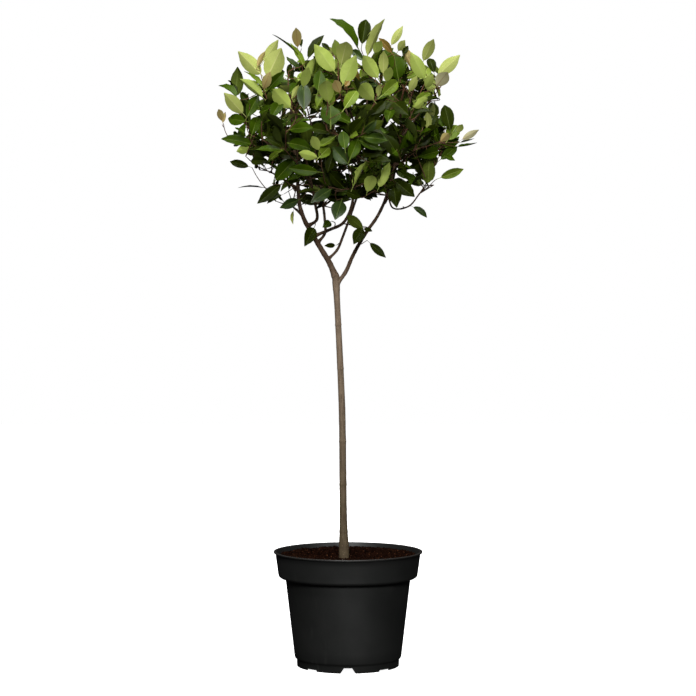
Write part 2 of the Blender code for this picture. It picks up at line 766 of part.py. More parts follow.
def dress(growth, paths, rng, most):
    """Leaves at the places furthest from the leaves so far, until there are enough or no place is left."""
    places = [place for path in paths for place in leaf_places(path, rng)]
    middles = [(points[0] + points[2]) / 2 for points in growth.leaves]

    def room(place):
        points = leaf_at(place, 0.0, 1.0)
        middle = (points[0] + points[2]) / 2
        return min(((middle - other).length for other in middles), default=0.0)

    while places and len(growth.leaves) < most:
        place = max(places, key=room)
        places.remove(place)
        for attempt in range(LEAF_TRIES):
            points = leaf_at(place, attempt * LEAF_TURN, LEAF_SHRINK**attempt)
            if growth.add_leaf(points):
                middles.append((points[0] + points[2]) / 2)
                break


def distance_to(point, path):
    """How far the point is from the twig, measured at places along it."""
    return min((point - point_at(path, share)[0]).length for share in TWIG_MARKS)


def emptiest(name, paths, rng):
    """Of some random places in the mass's space, the one furthest from the twigs grown so far."""
    best, best_room = None, 0.0
    for _ in range(GOALS):
        offset = Vector([rng.uniform(-1, 1) for _ in range(3)]) * MASS_REACH
        goal = MIDDLES[name] + offset
        if not keeps_to(name, goal, EDGE_ROOM):
            continue
        room = min(distance_to(goal, path) for path in paths)
        if room > best_room:
            best, best_room = goal, room
    return best


def side_twig(goal, paths):
    """A twig to the goal from the place on the twigs so far that is near and already heads that way."""
    best, best_cost = None, math.inf
    for path in paths:
        for share in TWIG_FORKS:
            base, heading = point_at(path, share)
            way = goal - base
            cost = way.length * (1.7 - heading.dot(way.normalized()))
            if SHORTEST_TWIG < way.length < LONGEST_TWIG and cost < best_cost:
                best, best_cost = (base, heading), cost
    if best is None:
        return None
    base, heading = best
    way = goal - base
    pieces = max(2, round(way.length / TWIG_STEP))
    return bent(base, (heading * 0.5 + way.normalized()).normalized(), goal, pieces)


def leader_of(name, limbs):
    """The mass's stem, from its bough's tip to the foot of its furthest leaf, and the way it sets off."""
    bough = limbs[carrier(name)].path
    heading = (bough[-1] - bough[-2]).normalized()
    start = bough[-1] + heading * GAP
    tip = Vector(MASSES[name][0])
    outward = (tip - start).normalized()
    end = tip - outward * LEAF_LENGTH * 0.93
    pieces = max(2, round((end - start).length / TWIG_STEP))
    return bent(start, heading, end, pieces), heading


def grow_mass(name, limbs, obstacles):
    """A leader from the bough's tip to the furthest leaf, side twigs to the emptiest places, and leaves."""
    rng = random.Random("photinia " + name)
    growth = Growth(lambda point: keeps_to(name, point), obstacles)
    leader, heading = leader_of(name, limbs)
    radii = twig_radii(len(leader) - 1)
    growth.twigs.append(tube("leader", leader, radii, TWIG_SIDES, heading))
    growth.trees.append(surface([tube("leader", leader, radii, TWIG_SIDES)]))
    outward = (Vector(MASSES[name][0]) - leader[-1]).normalized()
    root = leader[-1] - outward * TWIG_TIP_RADIUS
    face = leaf_face(root, outward, UP, TO_FRONT)
    furthest = leaf_points(root, outward, face, LEAF_LENGTH, LONE_LEAF_WIDTH)
    growth.add_leaf(furthest, lambda point: in_own_cell(name, point, GAP))
    paths = [leader]
    for _ in range(4 * MASS_TWIGS):
        goal = emptiest(name, paths, rng)
        path = side_twig(goal, paths) if goal else None
        if path and growth.add_twig(path, twig_radii(len(path) - 1, SIDE_TWIG_RADIUS)):
            paths.append(path)
        if len(paths) > MASS_TWIGS:
            break
    dress(growth, paths, rng, MASS_LEAVES)
    return growth


def grow_spray(name, limbs, obstacles):
    """A short twig on the side of a bare limb, with a leaf or a few at its end."""
    limb, share, tip, leaves = SPRAYS[name]
    rng = random.Random("photinia " + name)
    growth = Growth(lambda point: True, obstacles)
    base, _ = point_at(limbs[limb].path, share)
    aim = (Vector(tip) - base).normalized()
    end = Vector(tip) - aim.lerp(-UP, 0.2).normalized() * LEAF_LENGTH * 0.95
    path = bent(base, (aim + UP * 0.5).normalized(), end, 3)
    growth.twigs.append(tube("twig", path, twig_radii(3, SPRAY_TWIG_RADIUS), 4))
    outward = (Vector(tip) - end).normalized()
    face = leaf_face(end, outward, UP, TO_FRONT)
    growth.add_leaf(leaf_points(end, outward, face, LEAF_LENGTH, LONE_LEAF_WIDTH))
    for i in range(leaves - 1):
        point, along = point_at(path, 0.9 - 0.25 * i)
        across = Matrix.Rotation(rng.uniform(0, math.tau), 3, along) @ along.orthogonal().normalized()
        for _ in range(LEAF_TRIES):
            across = Matrix.Rotation(0.8, 3, along) @ across
            axis = (along * 0.5 + across * 0.8).normalized()
            face = leaf_face(point, axis, along, TO_FRONT)
            if growth.add_leaf(leaf_points(point, axis, face, LEAF_LENGTH * 0.85, LONE_LEAF_WIDTH)):
                break
    return growth


def fuse(name, growth, mat):
    """One solid from the twigs and leaves of a mass."""
    collection = bpy.data.collections.new("pieces of " + name)
    bpy.context.scene.collection.children.link(collection)
    obj = add_object(name, growth.twigs[0], mat)
    for mesh in growth.twigs[1:]:
        add_object("twig", mesh, mat, collection)
    for points in growth.leaves:
        add_object("leaf", leaf_mesh(points), mat, collection)
    boolean(obj, collection, "UNION")
    apply_modifiers(obj)
    keep_largest_body(obj)
    remove_objects(collection.objects)
    bpy.data.collections.remove(collection)
    return obj


def main():
    clear_scene()
    pot_black = material("pot_plastic", (0.022, 0.023, 0.022), 0.45)
    soil_brown = material("soil", (0.030, 0.016, 0.010), 0.95)
    bark = material("bark", (0.130, 0.095, 0.066), 0.85)
    leaf_green = material("foliage", (0.070, 0.150, 0.030), 0.45)
    make_pot(pot_black)
    make_soil(soil_brown)
    limbs = plan_limbs()
    make_limbs(limbs, bark)
    leaders = {name: leader_of(name, limbs)[0] for name in MASSES}
    for name in MASSES:
        near = list(limbs.values())
        for mass, path in leaders.items():
            if mass != name:
                near.append(Limb(path, twig_radii(len(path) - 1), TWIG_SIDES))
        growth = grow_mass(name, limbs, surface([limb.grown(ROOM) for limb in near]))
        fuse("leaves_" + name, growth, leaf_green)
    for name, (limb, *_) in SPRAYS.items():
        growth = grow_spray(name, limbs, surface([other.grown(ROOM) for other in limbs.values()]))
        obj = fuse(name, growth, leaf_green)
        cutter = add_object("cutter", limbs[limb].grown(GAP))
        boolean(obj, cutter, "DIFFERENCE")
        apply_modifiers(obj)
        keep_largest_body(obj)
        remove_objects([cutter])


main()
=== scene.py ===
"""Looks of the potted photinia: pot, compost, bark, twigs and leaves, and a small studio round them.

Metres, +Z up, with the front of the plant at -Y. Every piece is built in place, so its object stays at the origin.
"""

import sys
import logging
import math
import random
from dataclasses import dataclass, field
from enum import Enum
from functools import cache
from typing import Callable, Iterable, Sequence

import bmesh
import bpy
from mathutils import Matrix, Vector, noise
from mathutils.bvhtree import BVHTree
from mathutils.kdtree import KDTree


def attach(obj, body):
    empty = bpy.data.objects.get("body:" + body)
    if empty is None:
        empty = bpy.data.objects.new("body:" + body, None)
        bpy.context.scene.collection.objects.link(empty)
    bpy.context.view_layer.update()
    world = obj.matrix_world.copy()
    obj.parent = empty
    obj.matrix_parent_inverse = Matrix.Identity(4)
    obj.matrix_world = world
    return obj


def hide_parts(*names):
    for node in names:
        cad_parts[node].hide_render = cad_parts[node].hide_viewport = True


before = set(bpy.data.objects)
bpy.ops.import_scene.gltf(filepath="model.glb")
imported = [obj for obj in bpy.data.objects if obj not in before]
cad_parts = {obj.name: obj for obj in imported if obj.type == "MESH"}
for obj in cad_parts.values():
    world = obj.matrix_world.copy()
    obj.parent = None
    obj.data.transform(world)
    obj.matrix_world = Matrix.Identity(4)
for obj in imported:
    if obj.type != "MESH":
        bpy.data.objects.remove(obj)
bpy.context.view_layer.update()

LOG = logging.getLogger("photinia")
BODY = "root"
UP = Vector((0, 0, 1))
TO_FRONT = Vector((0, -1, 0))

Colour = tuple[float, float, float]
Faces = list[tuple[int, ...]]
Spot = tuple[float, float]  # radius and height
Socket = bpy.types.NodeSocket
Tree = bpy.types.NodeTree
Material = bpy.types.Material
Mesh = bpy.types.Mesh
Object = bpy.types.Object


def srgb(red: int, green: int, blue: int) -> Colour:
    """A display colour of 0 to 255 as the linear colour that a shader takes."""
    parts = (part / 255 for part in (red, green, blue))
    return tuple(part / 12.92 if part <= 0.04045 else ((part + 0.055) / 1.055) ** 2.4 for part in parts)


# ---------------------------------------------------------------- node trees


class Wiring:
    """Adds nodes to one tree and joins their sockets."""

    def __init__(self, tree: Tree) -> None:
        """Keeps the tree that the nodes go into."""
        self.tree = tree

    def add(self, kind: str, inputs: dict | None = None, **settings: object) -> bpy.types.Node:
        """Adds a node.

        Args:
            kind: The node's type.
            inputs: For each socket name or number, the value or the socket that feeds it.
            settings: The node's own properties.

        Returns:
            The new node.
        """
        node = self.tree.nodes.new(kind)
        for name, value in settings.items():
            setattr(node, name, value)
        for name, value in (inputs or {}).items():
            socket = node.inputs[name]
            if isinstance(value, Socket):
                self.tree.links.new(value, socket)
            else:
                socket.default_value = (*value, 1.0) if socket.type == "RGBA" else value
        return node

    def math(self, operation: str, first: object, second: object) -> Socket:
        """Adds a Math node and gives its result."""
        return self.add("ShaderNodeMath", {0: first, 1: second}, operation=operation).outputs[0]

    def blend(self, share: object, first: object, second: object) -> Socket:
        """Mixes two colours, with this share of the second."""
        return self.add("ShaderNodeMix", {0: share, 6: first, 7: second}, data_type="RGBA").outputs[2]

    def fitted(self, value: object, low: object, high: object, to_low: object = 0.0, to_high: float = 1.0) -> Socket:
        """Maps a value from one span to another, held within it."""
        names = {"Value": value, "From Min": low, "From Max": high, "To Min": to_low, "To Max": to_high}
        return self.add("ShaderNodeMapRange", names).outputs[0]

    def patches(self, place: Socket, scale: object, detail: object) -> Socket:
        """Adds a Noise node and gives its value."""
        return self.add("ShaderNodeTexNoise", {"Vector": place, "Scale": scale, "Detail": detail}).outputs["Fac"]

    def stretched(self, place: Socket, stretch: object) -> Socket:
        """Multiplies a place by a stretch along each axis."""
        return self.add("ShaderNodeVectorMath", {0: place, 1: stretch}, operation="MULTIPLY").outputs[0]

    def stored(self, name: str, kind: str) -> Socket:
        """Adds a Named Attribute node and gives its value."""
        return self.add("GeometryNodeInputNamedAttribute", {"Name": name}, data_type=kind).outputs["Attribute"]


def group_tree(name: str, kind: str, inputs: dict[str, tuple[str, object]], output: tuple[str, str]) -> tuple:
    """Makes a node group with named inputs and one named output.

    Args:
        name: The group's name.
        kind: ShaderNodeTree or GeometryNodeTree.
        inputs: For each input, its socket type and its usual value, or None.
        output: The output's name and socket type.

    Returns:
        The wiring of its tree, the sockets that give its inputs, and the socket that takes its output.
    """
    tree = bpy.data.node_groups.new(name, kind)
    for label, (socket, value) in inputs.items():
        made = tree.interface.new_socket(label, in_out="INPUT", socket_type="NodeSocket" + socket)
        if value is not None:
            made.default_value = value
    tree.interface.new_socket(output[0], in_out="OUTPUT", socket_type="NodeSocket" + output[1])
    wires = Wiring(tree)
    given, out = wires.add("NodeGroupInput"), wires.add("NodeGroupOutput")
    return wires, given.outputs, out.inputs[0]


class Effects:
    """Shader groups that more than one finish uses, each built once."""

    STRETCH = ("Vector", (1.0, 1.0, 1.0))

    @staticmethod
    @cache
    def mottle() -> Tree:
        """Soft patches over the surface.

        Returns:
            A group from Scale, Stretch, Detail, Low and High to Mask.
        """
        inputs = {"Scale": ("Float", 20.0), "Stretch": Effects.STRETCH, "Detail": ("Float", 3.0)}
        inputs |= {"Low": ("Float", 0.35), "High": ("Float", 0.65)}
        wires, given, out = group_tree("mottle", "ShaderNodeTree", inputs, ("Mask", "Float"))
        place = wires.stretched(wires.add("ShaderNodeTexCoord").outputs["Object"], given["Stretch"])
        patches = wires.patches(place, given["Scale"], given["Detail"])
        wires.tree.links.new(wires.fitted(patches, given["Low"], given["High"]), out)
        return wires.tree

    @staticmethod
    @cache
    def grain() -> Tree:
        """Fine relief in two sizes, for a Bump node.

        Returns:
            A group from Scale, Stretch and Fine Share to Height.
        """
        inputs = {"Scale": ("Float", 400.0), "Stretch": Effects.STRETCH, "Fine Share": ("Float", 0.4)}
        wires, given, out = group_tree("grain", "ShaderNodeTree", inputs, ("Height", "Float"))
        place = wires.stretched(wires.add("ShaderNodeTexCoord").outputs["Object"], given["Stretch"])
        coarse = wires.patches(place, given["Scale"], 2.0)
        fine = wires.patches(place, wires.math("MULTIPLY", given["Scale"], 3.7), 1.0)
        fine = wires.math("MULTIPLY", fine, given["Fine Share"])
        coarse = wires.math("MULTIPLY", coarse, wires.math("SUBTRACT", 1.0, given["Fine Share"]))
        wires.tree.links.new(wires.math("ADD", fine, coarse), out)
        return wires.tree

    @staticmethod
    @cache
    def height_fade() -> Tree:
        """How far up a piece a place is, from 0 at Foot to 1 at Head, with a ragged edge.

        Returns:
            A group from Foot, Head and Ragged to Mask.
        """
        inputs = {"Foot": ("Float", 0.0), "Head": ("Float", 1.0), "Ragged": ("Float", 0.1)}
        wires, given, out = group_tree("height fade", "ShaderNodeTree", inputs, ("Mask", "Float"))
        place = wires.add("ShaderNodeTexCoord").outputs["Object"]
        height = wires.add("ShaderNodeSeparateXYZ", {0: place}).outputs["Z"]
        share = wires.fitted(height, given["Foot"], given["Head"])
        ragged = wires.math("SUBTRACT", wires.patches(place, 60.0, 3.0), 0.5)
        ragged = wires.math("MULTIPLY", ragged, given["Ragged"])
        total = wires.add("ShaderNodeMath", {0: share, 1: ragged}, operation="ADD", use_clamp=True)
        wires.tree.links.new(total.outputs[0], out)
        return wires.tree


class Paint(Wiring):
    """The nodes of one material, round its Principled shader."""

    def __init__(self, name: str) -> None:
        """Makes the material.

        Args:
            name: The material's name.
        """
        self.material = bpy.data.materials.new(name)
        self.material.use_nodes = True
        super().__init__(self.material.node_tree)
        self.shader = self.tree.nodes["Principled BSDF"]

    def effect(self, group: Tree, **values: object) -> Socket:
        """Places a shared effect with its own values, named with _ for a space, and gives its output."""
        inputs = {name.replace("_", " "): value for name, value in values.items()}
        return self.add("ShaderNodeGroup", inputs, node_tree=group).outputs[0]

    def plain(self, **values: float) -> None:
        """Sets the shader's own sockets, with _ for a space."""
        for name, value in values.items():
            self.shader.inputs[name.replace("_", " ")].default_value = value

    def feed(self, socket: str, value: Socket) -> None:
        """Feeds one of the shader's sockets."""
        self.tree.links.new(value, self.shader.inputs[socket])

    def bump(self, height: Socket, depth: float, strength: float) -> None:
        """Feeds the shader's normal from a relief this deep in metres."""
        node = self.add("ShaderNodeBump", {"Height": height, "Distance": depth, "Strength": strength})
        self.feed("Normal", node.outputs[0])


# ---------------------------------------------------------------- finishes


@dataclass(frozen=True)
class PotPlastic:
    """Black nursery-pot plastic: satin, with faint cloudiness, fine grain, scuffs at the foot and dust on top."""

    name: str = "pot_plastic"
    colour: Colour = srgb(24, 25, 24)
    cloud: Colour = srgb(29, 30, 29)
    scuffed: Colour = srgb(60, 61, 58)
    dusty: Colour = srgb(58, 50, 42)
    roughness: tuple[float, float] = (0.46, 0.54)

    def material(self) -> Material:
        """Builds the finish.

        Returns:
            The material.
        """
        paint = Paint(self.name)
        clouds = paint.effect(Effects.mottle(), Scale=14.0, Detail=4.0, Low=0.3, High=0.75)
        scratches = paint.effect(
            Effects.mottle(), Scale=90.0, Stretch=(1.0, 1.0, 0.12), Detail=5.0, Low=0.62, High=0.74
        )
        foot = paint.effect(Effects.height_fade(), Foot=0.030, Head=0.004, Ragged=0.9)
        lip = paint.effect(Effects.height_fade(), Foot=0.1955, Head=0.2000, Ragged=0.8)
        base = paint.blend(clouds, self.colour, self.cloud)
        scuffs = paint.math("MULTIPLY", scratches, paint.math("ADD", paint.math("MULTIPLY", foot, 0.5), 0.10))
        base = paint.blend(scuffs, base, self.scuffed)
        base = paint.blend(paint.math("MULTIPLY", lip, 0.15), base, self.dusty)
        paint.feed("Base Color", base)
        paint.feed("Roughness", paint.fitted(clouds, 0.0, 1.0, *self.roughness))
        paint.plain(Specular_IOR_Level=0.55)
        paint.bump(paint.effect(Effects.grain(), Scale=900.0, Fine_Share=0.35), 0.00012, 0.5)
        return paint.material


@dataclass(frozen=True)
class Peat:
    """Damp peat compost: dark red-brown, crumbly, with paler fibres."""

    name: str = "peat"
    dark: Colour = srgb(9, 3, 1)
    warm: Colour = srgb(37, 18, 10)
    fibre: Colour = srgb(112, 72, 48)

    def material(self) -> Material:
        """Builds the finish.

        Returns:
            The material.
        """
        paint = Paint(self.name)
        lumps = paint.effect(Effects.mottle(), Scale=160.0, Detail=5.0, Low=0.40, High=0.72)
        fibres = paint.effect(Effects.mottle(), Scale=420.0, Stretch=(1.0, 0.35, 1.0), Detail=2.0, Low=0.66, High=0.74)
        paint.feed("Base Color", paint.blend(fibres, paint.blend(lumps, self.dark, self.warm), self.fibre))
        paint.feed("Roughness", paint.fitted(lumps, 0.0, 1.0, 0.80, 0.97))
        paint.plain(Specular_IOR_Level=0.02)
        paint.bump(paint.effect(Effects.grain(), Scale=620.0, Fine_Share=0.5), 0.0012, 0.9)
        return paint.material


@dataclass(frozen=True)
class Bark:
    """Young photinia bark: smooth and thin, streaked along the limb, with pale corky specks.

    Each stage is a colour that the bark turns to between two heights.
    """

    name: str
    foot: Colour
    stages: tuple[tuple[Colour, float, float], ...]
    streak: Colour
    cork: Colour = (1.0, 0.80, 0.52)
    roughness: tuple[float, float] = (0.62, 0.85)

    def material(self) -> Material:
        """Builds the finish.

        Returns:
            The material.
        """
        paint = Paint(self.name)
        streaks = paint.effect(Effects.mottle(), Scale=420.0, Stretch=(1.0, 1.0, 0.07), Detail=4.0, Low=0.38, High=0.68)
        bands = paint.effect(Effects.mottle(), Scale=55.0, Stretch=(0.3, 0.3, 1.0), Detail=4.0, Low=0.35, High=0.70)
        specks = paint.effect(Effects.mottle(), Scale=700.0, Stretch=(0.45, 0.45, 1.0), Detail=1.0, Low=0.66, High=0.70)
        base = self.foot
        for colour, start, end in self.stages:
            climb = paint.effect(Effects.height_fade(), Foot=start, Head=end, Ragged=0.5)
            base = paint.blend(climb, base, colour)
        corky = paint.blend(0.11, base, self.cork)
        base = paint.blend(paint.math("MULTIPLY", streaks, 0.55), base, self.streak)
        base = paint.blend(paint.math("MULTIPLY", bands, 0.22), base, corky)
        base = paint.blend(paint.math("MULTIPLY", specks, 0.7), base, corky)
        paint.feed("Base Color", base)
        paint.feed("Roughness", paint.fitted(streaks, 0.0, 1.0, *self.roughness))
        paint.plain(Specular_IOR_Level=0.15)
        paint.bump(paint.effect(Effects.grain(), Scale=900.0, Stretch=(1.0, 1.0, 0.25), Fine_Share=0.4), 0.0004, 0.7)
        return paint.material


@dataclass(frozen=True)
class LeafSkin:
    """One side of a leaf: a base colour that drifts a little from leaf to leaf, and its gloss."""

    name: str
    colour: Colour
    drift: Colour
    roughness: float
    shine: float = 0.10

    def material(self) -> Material:
        """Builds the finish.

        Returns:
            The material.
        """
        paint = Paint(self.name)
        drift = paint.effect(Effects.mottle(), Scale=34.0, Detail=2.0, Low=0.36, High=0.64)
        flecks = paint.effect(Effects.mottle(), Scale=420.0, Detail=3.0, Low=0.42, High=0.70)
        base = paint.blend(drift, self.colour, self.drift)
        darker = tuple(part * 0.72 for part in self.colour)
        paint.feed("Base Color", paint.blend(paint.math("MULTIPLY", flecks, 0.35), base, darker))
        paint.feed("Roughness", paint.fitted(flecks, 0.0, 1.0, self.roughness - 0.04, self.roughness + 0.08))
        paint.plain(Specular_IOR_Level=self.shine)
        paint.bump(paint.effect(Effects.grain(), Scale=520.0, Fine_Share=0.3), 0.0003, 0.5)
        return paint.material


class Tint(Enum):
    """The kinds of leaf, from old and deep green to young and bronze. Where they are dealt by place, the deep ones
    inside and low in the crown are partly painted shade.
    """

    DEEP = "deep"
    GREEN = "green"
    FRESH = "fresh"
    PALE = "pale"
    BRONZE = "bronze"
    MAUVE = "mauve"
    SHEEN = "sheen"


# tint: display colours of the top and its drift, the underside and its drift, and the midrib, then the top's shine
TINTS: dict[Tint, tuple[tuple[tuple[int, int, int], ...], float]] = {
    Tint.DEEP: (((25, 32, 1), (34, 44, 4), (46, 55, 15), (38, 47, 11), (56, 66, 17)), 0.05),
    Tint.GREEN: (((40, 58, 2), (52, 72, 6), (68, 80, 20), (58, 70, 15), (84, 98, 32)), 0.06),
    Tint.FRESH: (((78, 96, 20), (94, 112, 32), (144, 158, 76), (128, 144, 62), (136, 148, 74)), 0.08),
    Tint.PALE: (((118, 134, 50), (132, 146, 62), (149, 157, 85), (136, 144, 72), (162, 164, 100)), 0.08),
    Tint.BRONZE: (((92, 76, 26), (108, 88, 38), (170, 156, 98), (152, 134, 82), (136, 100, 64)), 0.12),
    Tint.MAUVE: (((100, 98, 54), (114, 108, 66), (172, 168, 130), (156, 150, 112), (144, 124, 92)), 0.12),
    Tint.SHEEN: (((34, 50, 12), (46, 64, 22), (76, 92, 36), (66, 80, 30), (84, 100, 44)), 0.36),
}


# ---------------------------------------------------------------- geometry recipes


class Recipe:
    """A geometry node tree, with the run that turns its result into a plain mesh."""

    STORED = ("radius", "turn", "size", "kind", "part")

    def __init__(self, name: str, inputs: dict[str, tuple[str, object]]) -> None:
        """Makes the empty tree.

        Args:
            name: The tree's name.
            inputs: Its named inputs after Geometry: the socket type and the usual value, or None.
        """
        sockets = {"Geometry": ("Geometry", None), **inputs}
        self.wires, self.given, self.out = group_tree(name, "GeometryNodeTree", sockets, ("Geometry", "Geometry"))
        self.wires.tree.is_modifier = True

    def instances(self, points: Socket, kinds: str, inputs: dict[str, object]) -> Socket:
        """Puts one object of a collection on each point.

        Args:
            points: The points.
            kinds: The name of the input that gives the collection.
            inputs: What turns, sizes and picks the objects.

        Returns:
            The instances.
        """
        chosen = {"Collection": self.given[kinds], "Separate Children": True, "Reset Children": True}
        objects = self.wires.add("GeometryNodeCollectionInfo", chosen).outputs[0]
        inputs = {"Points": points, "Instance": objects, "Pick Instance": True, **inputs}
        return self.wires.add("GeometryNodeInstanceOnPoints", inputs).outputs[0]

    def finish(self, shape: Socket, materials: Iterable[tuple[str, int | None]]) -> None:
        """Ends the tree in Realize Instances and a Set Material for each part.

        Args:
            shape: The geometry so far.
            materials: The name of a material input, and the part number of the faces that take it, or None for all.
        """
        wires = self.wires
        shape = wires.add("GeometryNodeRealizeInstances", {"Geometry": shape}).outputs[0]
        for label, number in materials:
            inputs = {"Geometry": shape, "Material": self.given[label]}
            if number is not None:
                pair = {2: wires.stored("part", "INT"), 3: number}
                same = wires.add("FunctionNodeCompare", pair, data_type="INT", operation="EQUAL")
                inputs["Selection"] = same.outputs[0]
            shape = wires.add("GeometryNodeSetMaterial", inputs).outputs[0]
        wires.tree.links.new(shape, self.out)

    def run(self, name: str, mesh: Mesh, inputs: dict[str, object]) -> Object:
        """Applies the tree to a mesh.

        Args:
            name: The piece's name.
            mesh: What the tree starts from. It is removed afterwards.
            inputs: A value for each named input.

        Returns:
            The piece, as a plain mesh with no modifier.
        """
        obj = place_object(name, mesh)
        modifier = obj.modifiers.new("recipe", "NODES")
        modifier.node_group = self.wires.tree
        for item in self.wires.tree.interface.items_tree:
            if item.item_type == "SOCKET" and item.in_out == "INPUT" and item.name in inputs:
                modifier[item.identifier] = inputs[item.name]
        plain_mesh(obj)
        obj.data.name = name
        bpy.data.meshes.remove(mesh)
        for spare in self.STORED:
            if spare in obj.data.attributes:
                obj.data.attributes.remove(obj.data.attributes[spare])
        return obj


def sweep_recipe() -> Recipe:
    """A limb or twig along each chain of edges, round in section, with the bark's relief.

    Returns:
        The recipe. Its points carry their radius.
    """
    inputs = {"Sides": ("Int", 8), "Step": ("Float", 0.002), "Relief": ("Float", 0.0)}
    inputs |= {"Relief Scale": ("Float", 300.0), "Material": ("Material", None)}
    recipe = Recipe("sweep", inputs)
    wires, given = recipe.wires, recipe.given
    curve = wires.add("GeometryNodeMeshToCurve", {"Mesh": given["Geometry"]}).outputs[0]
    curve = wires.add("GeometryNodeResampleCurve", {"Curve": curve, "Length": given["Step"]}, mode="LENGTH").outputs[0]
    ring = wires.add("GeometryNodeCurvePrimitiveCircle", {"Resolution": given["Sides"], "Radius": 1.0}).outputs[0]
    inputs = {"Curve": curve, "Profile Curve": ring, "Scale": wires.stored("radius", "FLOAT"), "Fill Caps": True}
    skin = wires.add("GeometryNodeCurveToMesh", inputs).outputs[0]
    place = wires.add("GeometryNodeInputPosition").outputs[0]
    relief = []
    for stretch, share, detail in (((1.0, 1.0, 0.22), 0.65, 3.0), ((0.5, 0.5, 1.3), 0.35, 1.0)):
        lumps = wires.patches(wires.stretched(place, stretch), given["Relief Scale"], detail)
        relief.append(wires.math("MULTIPLY", wires.math("SUBTRACT", lumps, 0.5), share))
    raised = wires.math("MULTIPLY", wires.math("ADD", *relief), given["Relief"])
    inputs = {0: wires.add("GeometryNodeInputNormal").outputs[0], "Scale": raised}
    offset = wires.add("ShaderNodeVectorMath", inputs, operation="SCALE").outputs[0]
    skin = wires.add("GeometryNodeSetPosition", {"Geometry": skin, "Offset": offset}).outputs[0]
    skin = wires.add("GeometryNodeSetShadeSmooth", {"Geometry": skin}).outputs[0]
    recipe.finish(skin, [("Material", None)])
    return recipe


def leaf_recipe() -> Recipe:
    """A leaf on each point, turned and sized by the point's own values.

    Returns:
        The recipe. Its points carry turn, size and kind.
    """
    inputs = {"Leaves": ("Collection", None), "Size": ("Float", 1.0)}
    inputs |= {label: ("Material", None) for label in ("Top", "Underside", "Rib")}
    recipe = Recipe("leaves", inputs)
    wires = recipe.wires
    size = {0: wires.stored("size", "FLOAT_VECTOR"), "Scale": recipe.given["Size"]}
    inputs = {
        "Instance Index": wires.stored("kind", "INT"),
        "Rotation": wires.add("FunctionNodeEulerToRotation", {0: wires.stored("turn", "FLOAT_VECTOR")}).outputs[0],
        "Scale": wires.add("ShaderNodeVectorMath", size, operation="SCALE").outputs[0],
    }
    leaves = recipe.instances(recipe.given["Geometry"], "Leaves", inputs)
    recipe.finish(leaves, [("Top", 0), ("Underside", 1), ("Rib", 2)])
    return recipe


def crumb_recipe() -> Recipe:
    """Crumbs scattered over a surface.

    Returns:
        The recipe.
    """
    inputs = {"Crumbs": ("Collection", None), "Density": ("Float", 50000.0), "Smallest": ("Float", 0.5)}
    inputs |= {"Largest": ("Float", 1.5), "Seed": ("Int", 7), "Material": ("Material", None)}
    recipe = Recipe("crumbs", inputs)
    wires, given = recipe.wires, recipe.given
    inputs = {"Mesh": given["Geometry"], "Density": given["Density"], "Seed": given["Seed"]}
    spots = wires.add("GeometryNodeDistributePointsOnFaces", inputs).outputs["Points"]
    inputs = {1: (math.tau, math.tau, math.tau), "Seed": given["Seed"]}
    turn = wires.add("FunctionNodeRandomValue", inputs, data_type="FLOAT_VECTOR").outputs[0]
    size = wires.add("FunctionNodeRandomValue", {2: given["Smallest"], 3: given["Largest"]}, data_type="FLOAT")
    turn = wires.add("FunctionNodeEulerToRotation", {0: turn}).outputs[0]
    crumbs = recipe.instances(spots, "Crumbs", {"Rotation": turn, "Scale": size.outputs[1]})
    recipe.finish(crumbs, [("Material", None)])
    return recipe


# ---------------------------------------------------------------- mesh helpers


def mesh_of(name: str, points: Sequence[Vector], faces: Faces, smooth: bool = True) -> Mesh:
    """A mesh from points and faces, with its faces turned outwards.

    Args:
        name: The mesh's name.
        points: Its points.
        faces: Its faces, as numbers of points.
        smooth: Whether it is shaded smooth.

    Returns:
        The mesh.
    """
    mesh = bpy.data.meshes.new(name)
    mesh.from_pydata([tuple(p) for p in points], [], faces)
    bm = bmesh.new()
    bm.from_mesh(mesh)
    bmesh.ops.recalc_face_normals(bm, faces=bm.faces)
    bm.to_mesh(mesh)
    bm.free()
    if smooth:
        mesh.shade_smooth()
    return mesh


def place_object(name: str, data: bpy.types.ID, material: Material | None = None) -> Object:
    """Puts a mesh, lamp or camera in the scene at the origin.

    Args:
        name: The object's name.
        data: What it shows.
        material: A mesh's finish, if it has one.

    Returns:
        The object.
    """
    obj = bpy.data.objects.new(name, data)
    bpy.context.scene.collection.objects.link(obj)
    if material:
        data.materials.append(material)
    return obj


def plain_mesh(obj: Object) -> None:
    """Bakes an object's modifiers into its mesh.

    Args:
        obj: The object, which keeps no modifier.
    """
    bpy.context.view_layer.update()
    mesh = bpy.data.meshes.new_from_object(obj.evaluated_get(bpy.context.evaluated_depsgraph_get()))
    obj.modifiers.clear()
    obj.data = mesh


def deliver(obj: Object, nodes: Sequence[str]) -> None:
    """Hands a finished piece to the frame.

    Args:
        obj: The piece.
        nodes: The solids that it stands for.
    """
    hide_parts(*nodes)
    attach(obj, BODY)
    faces = sum(len(polygon.vertices) - 2 for polygon in obj.data.polygons)
    LOG.info("%s: %d triangles, for %d nodes", obj.name, faces, len(nodes))


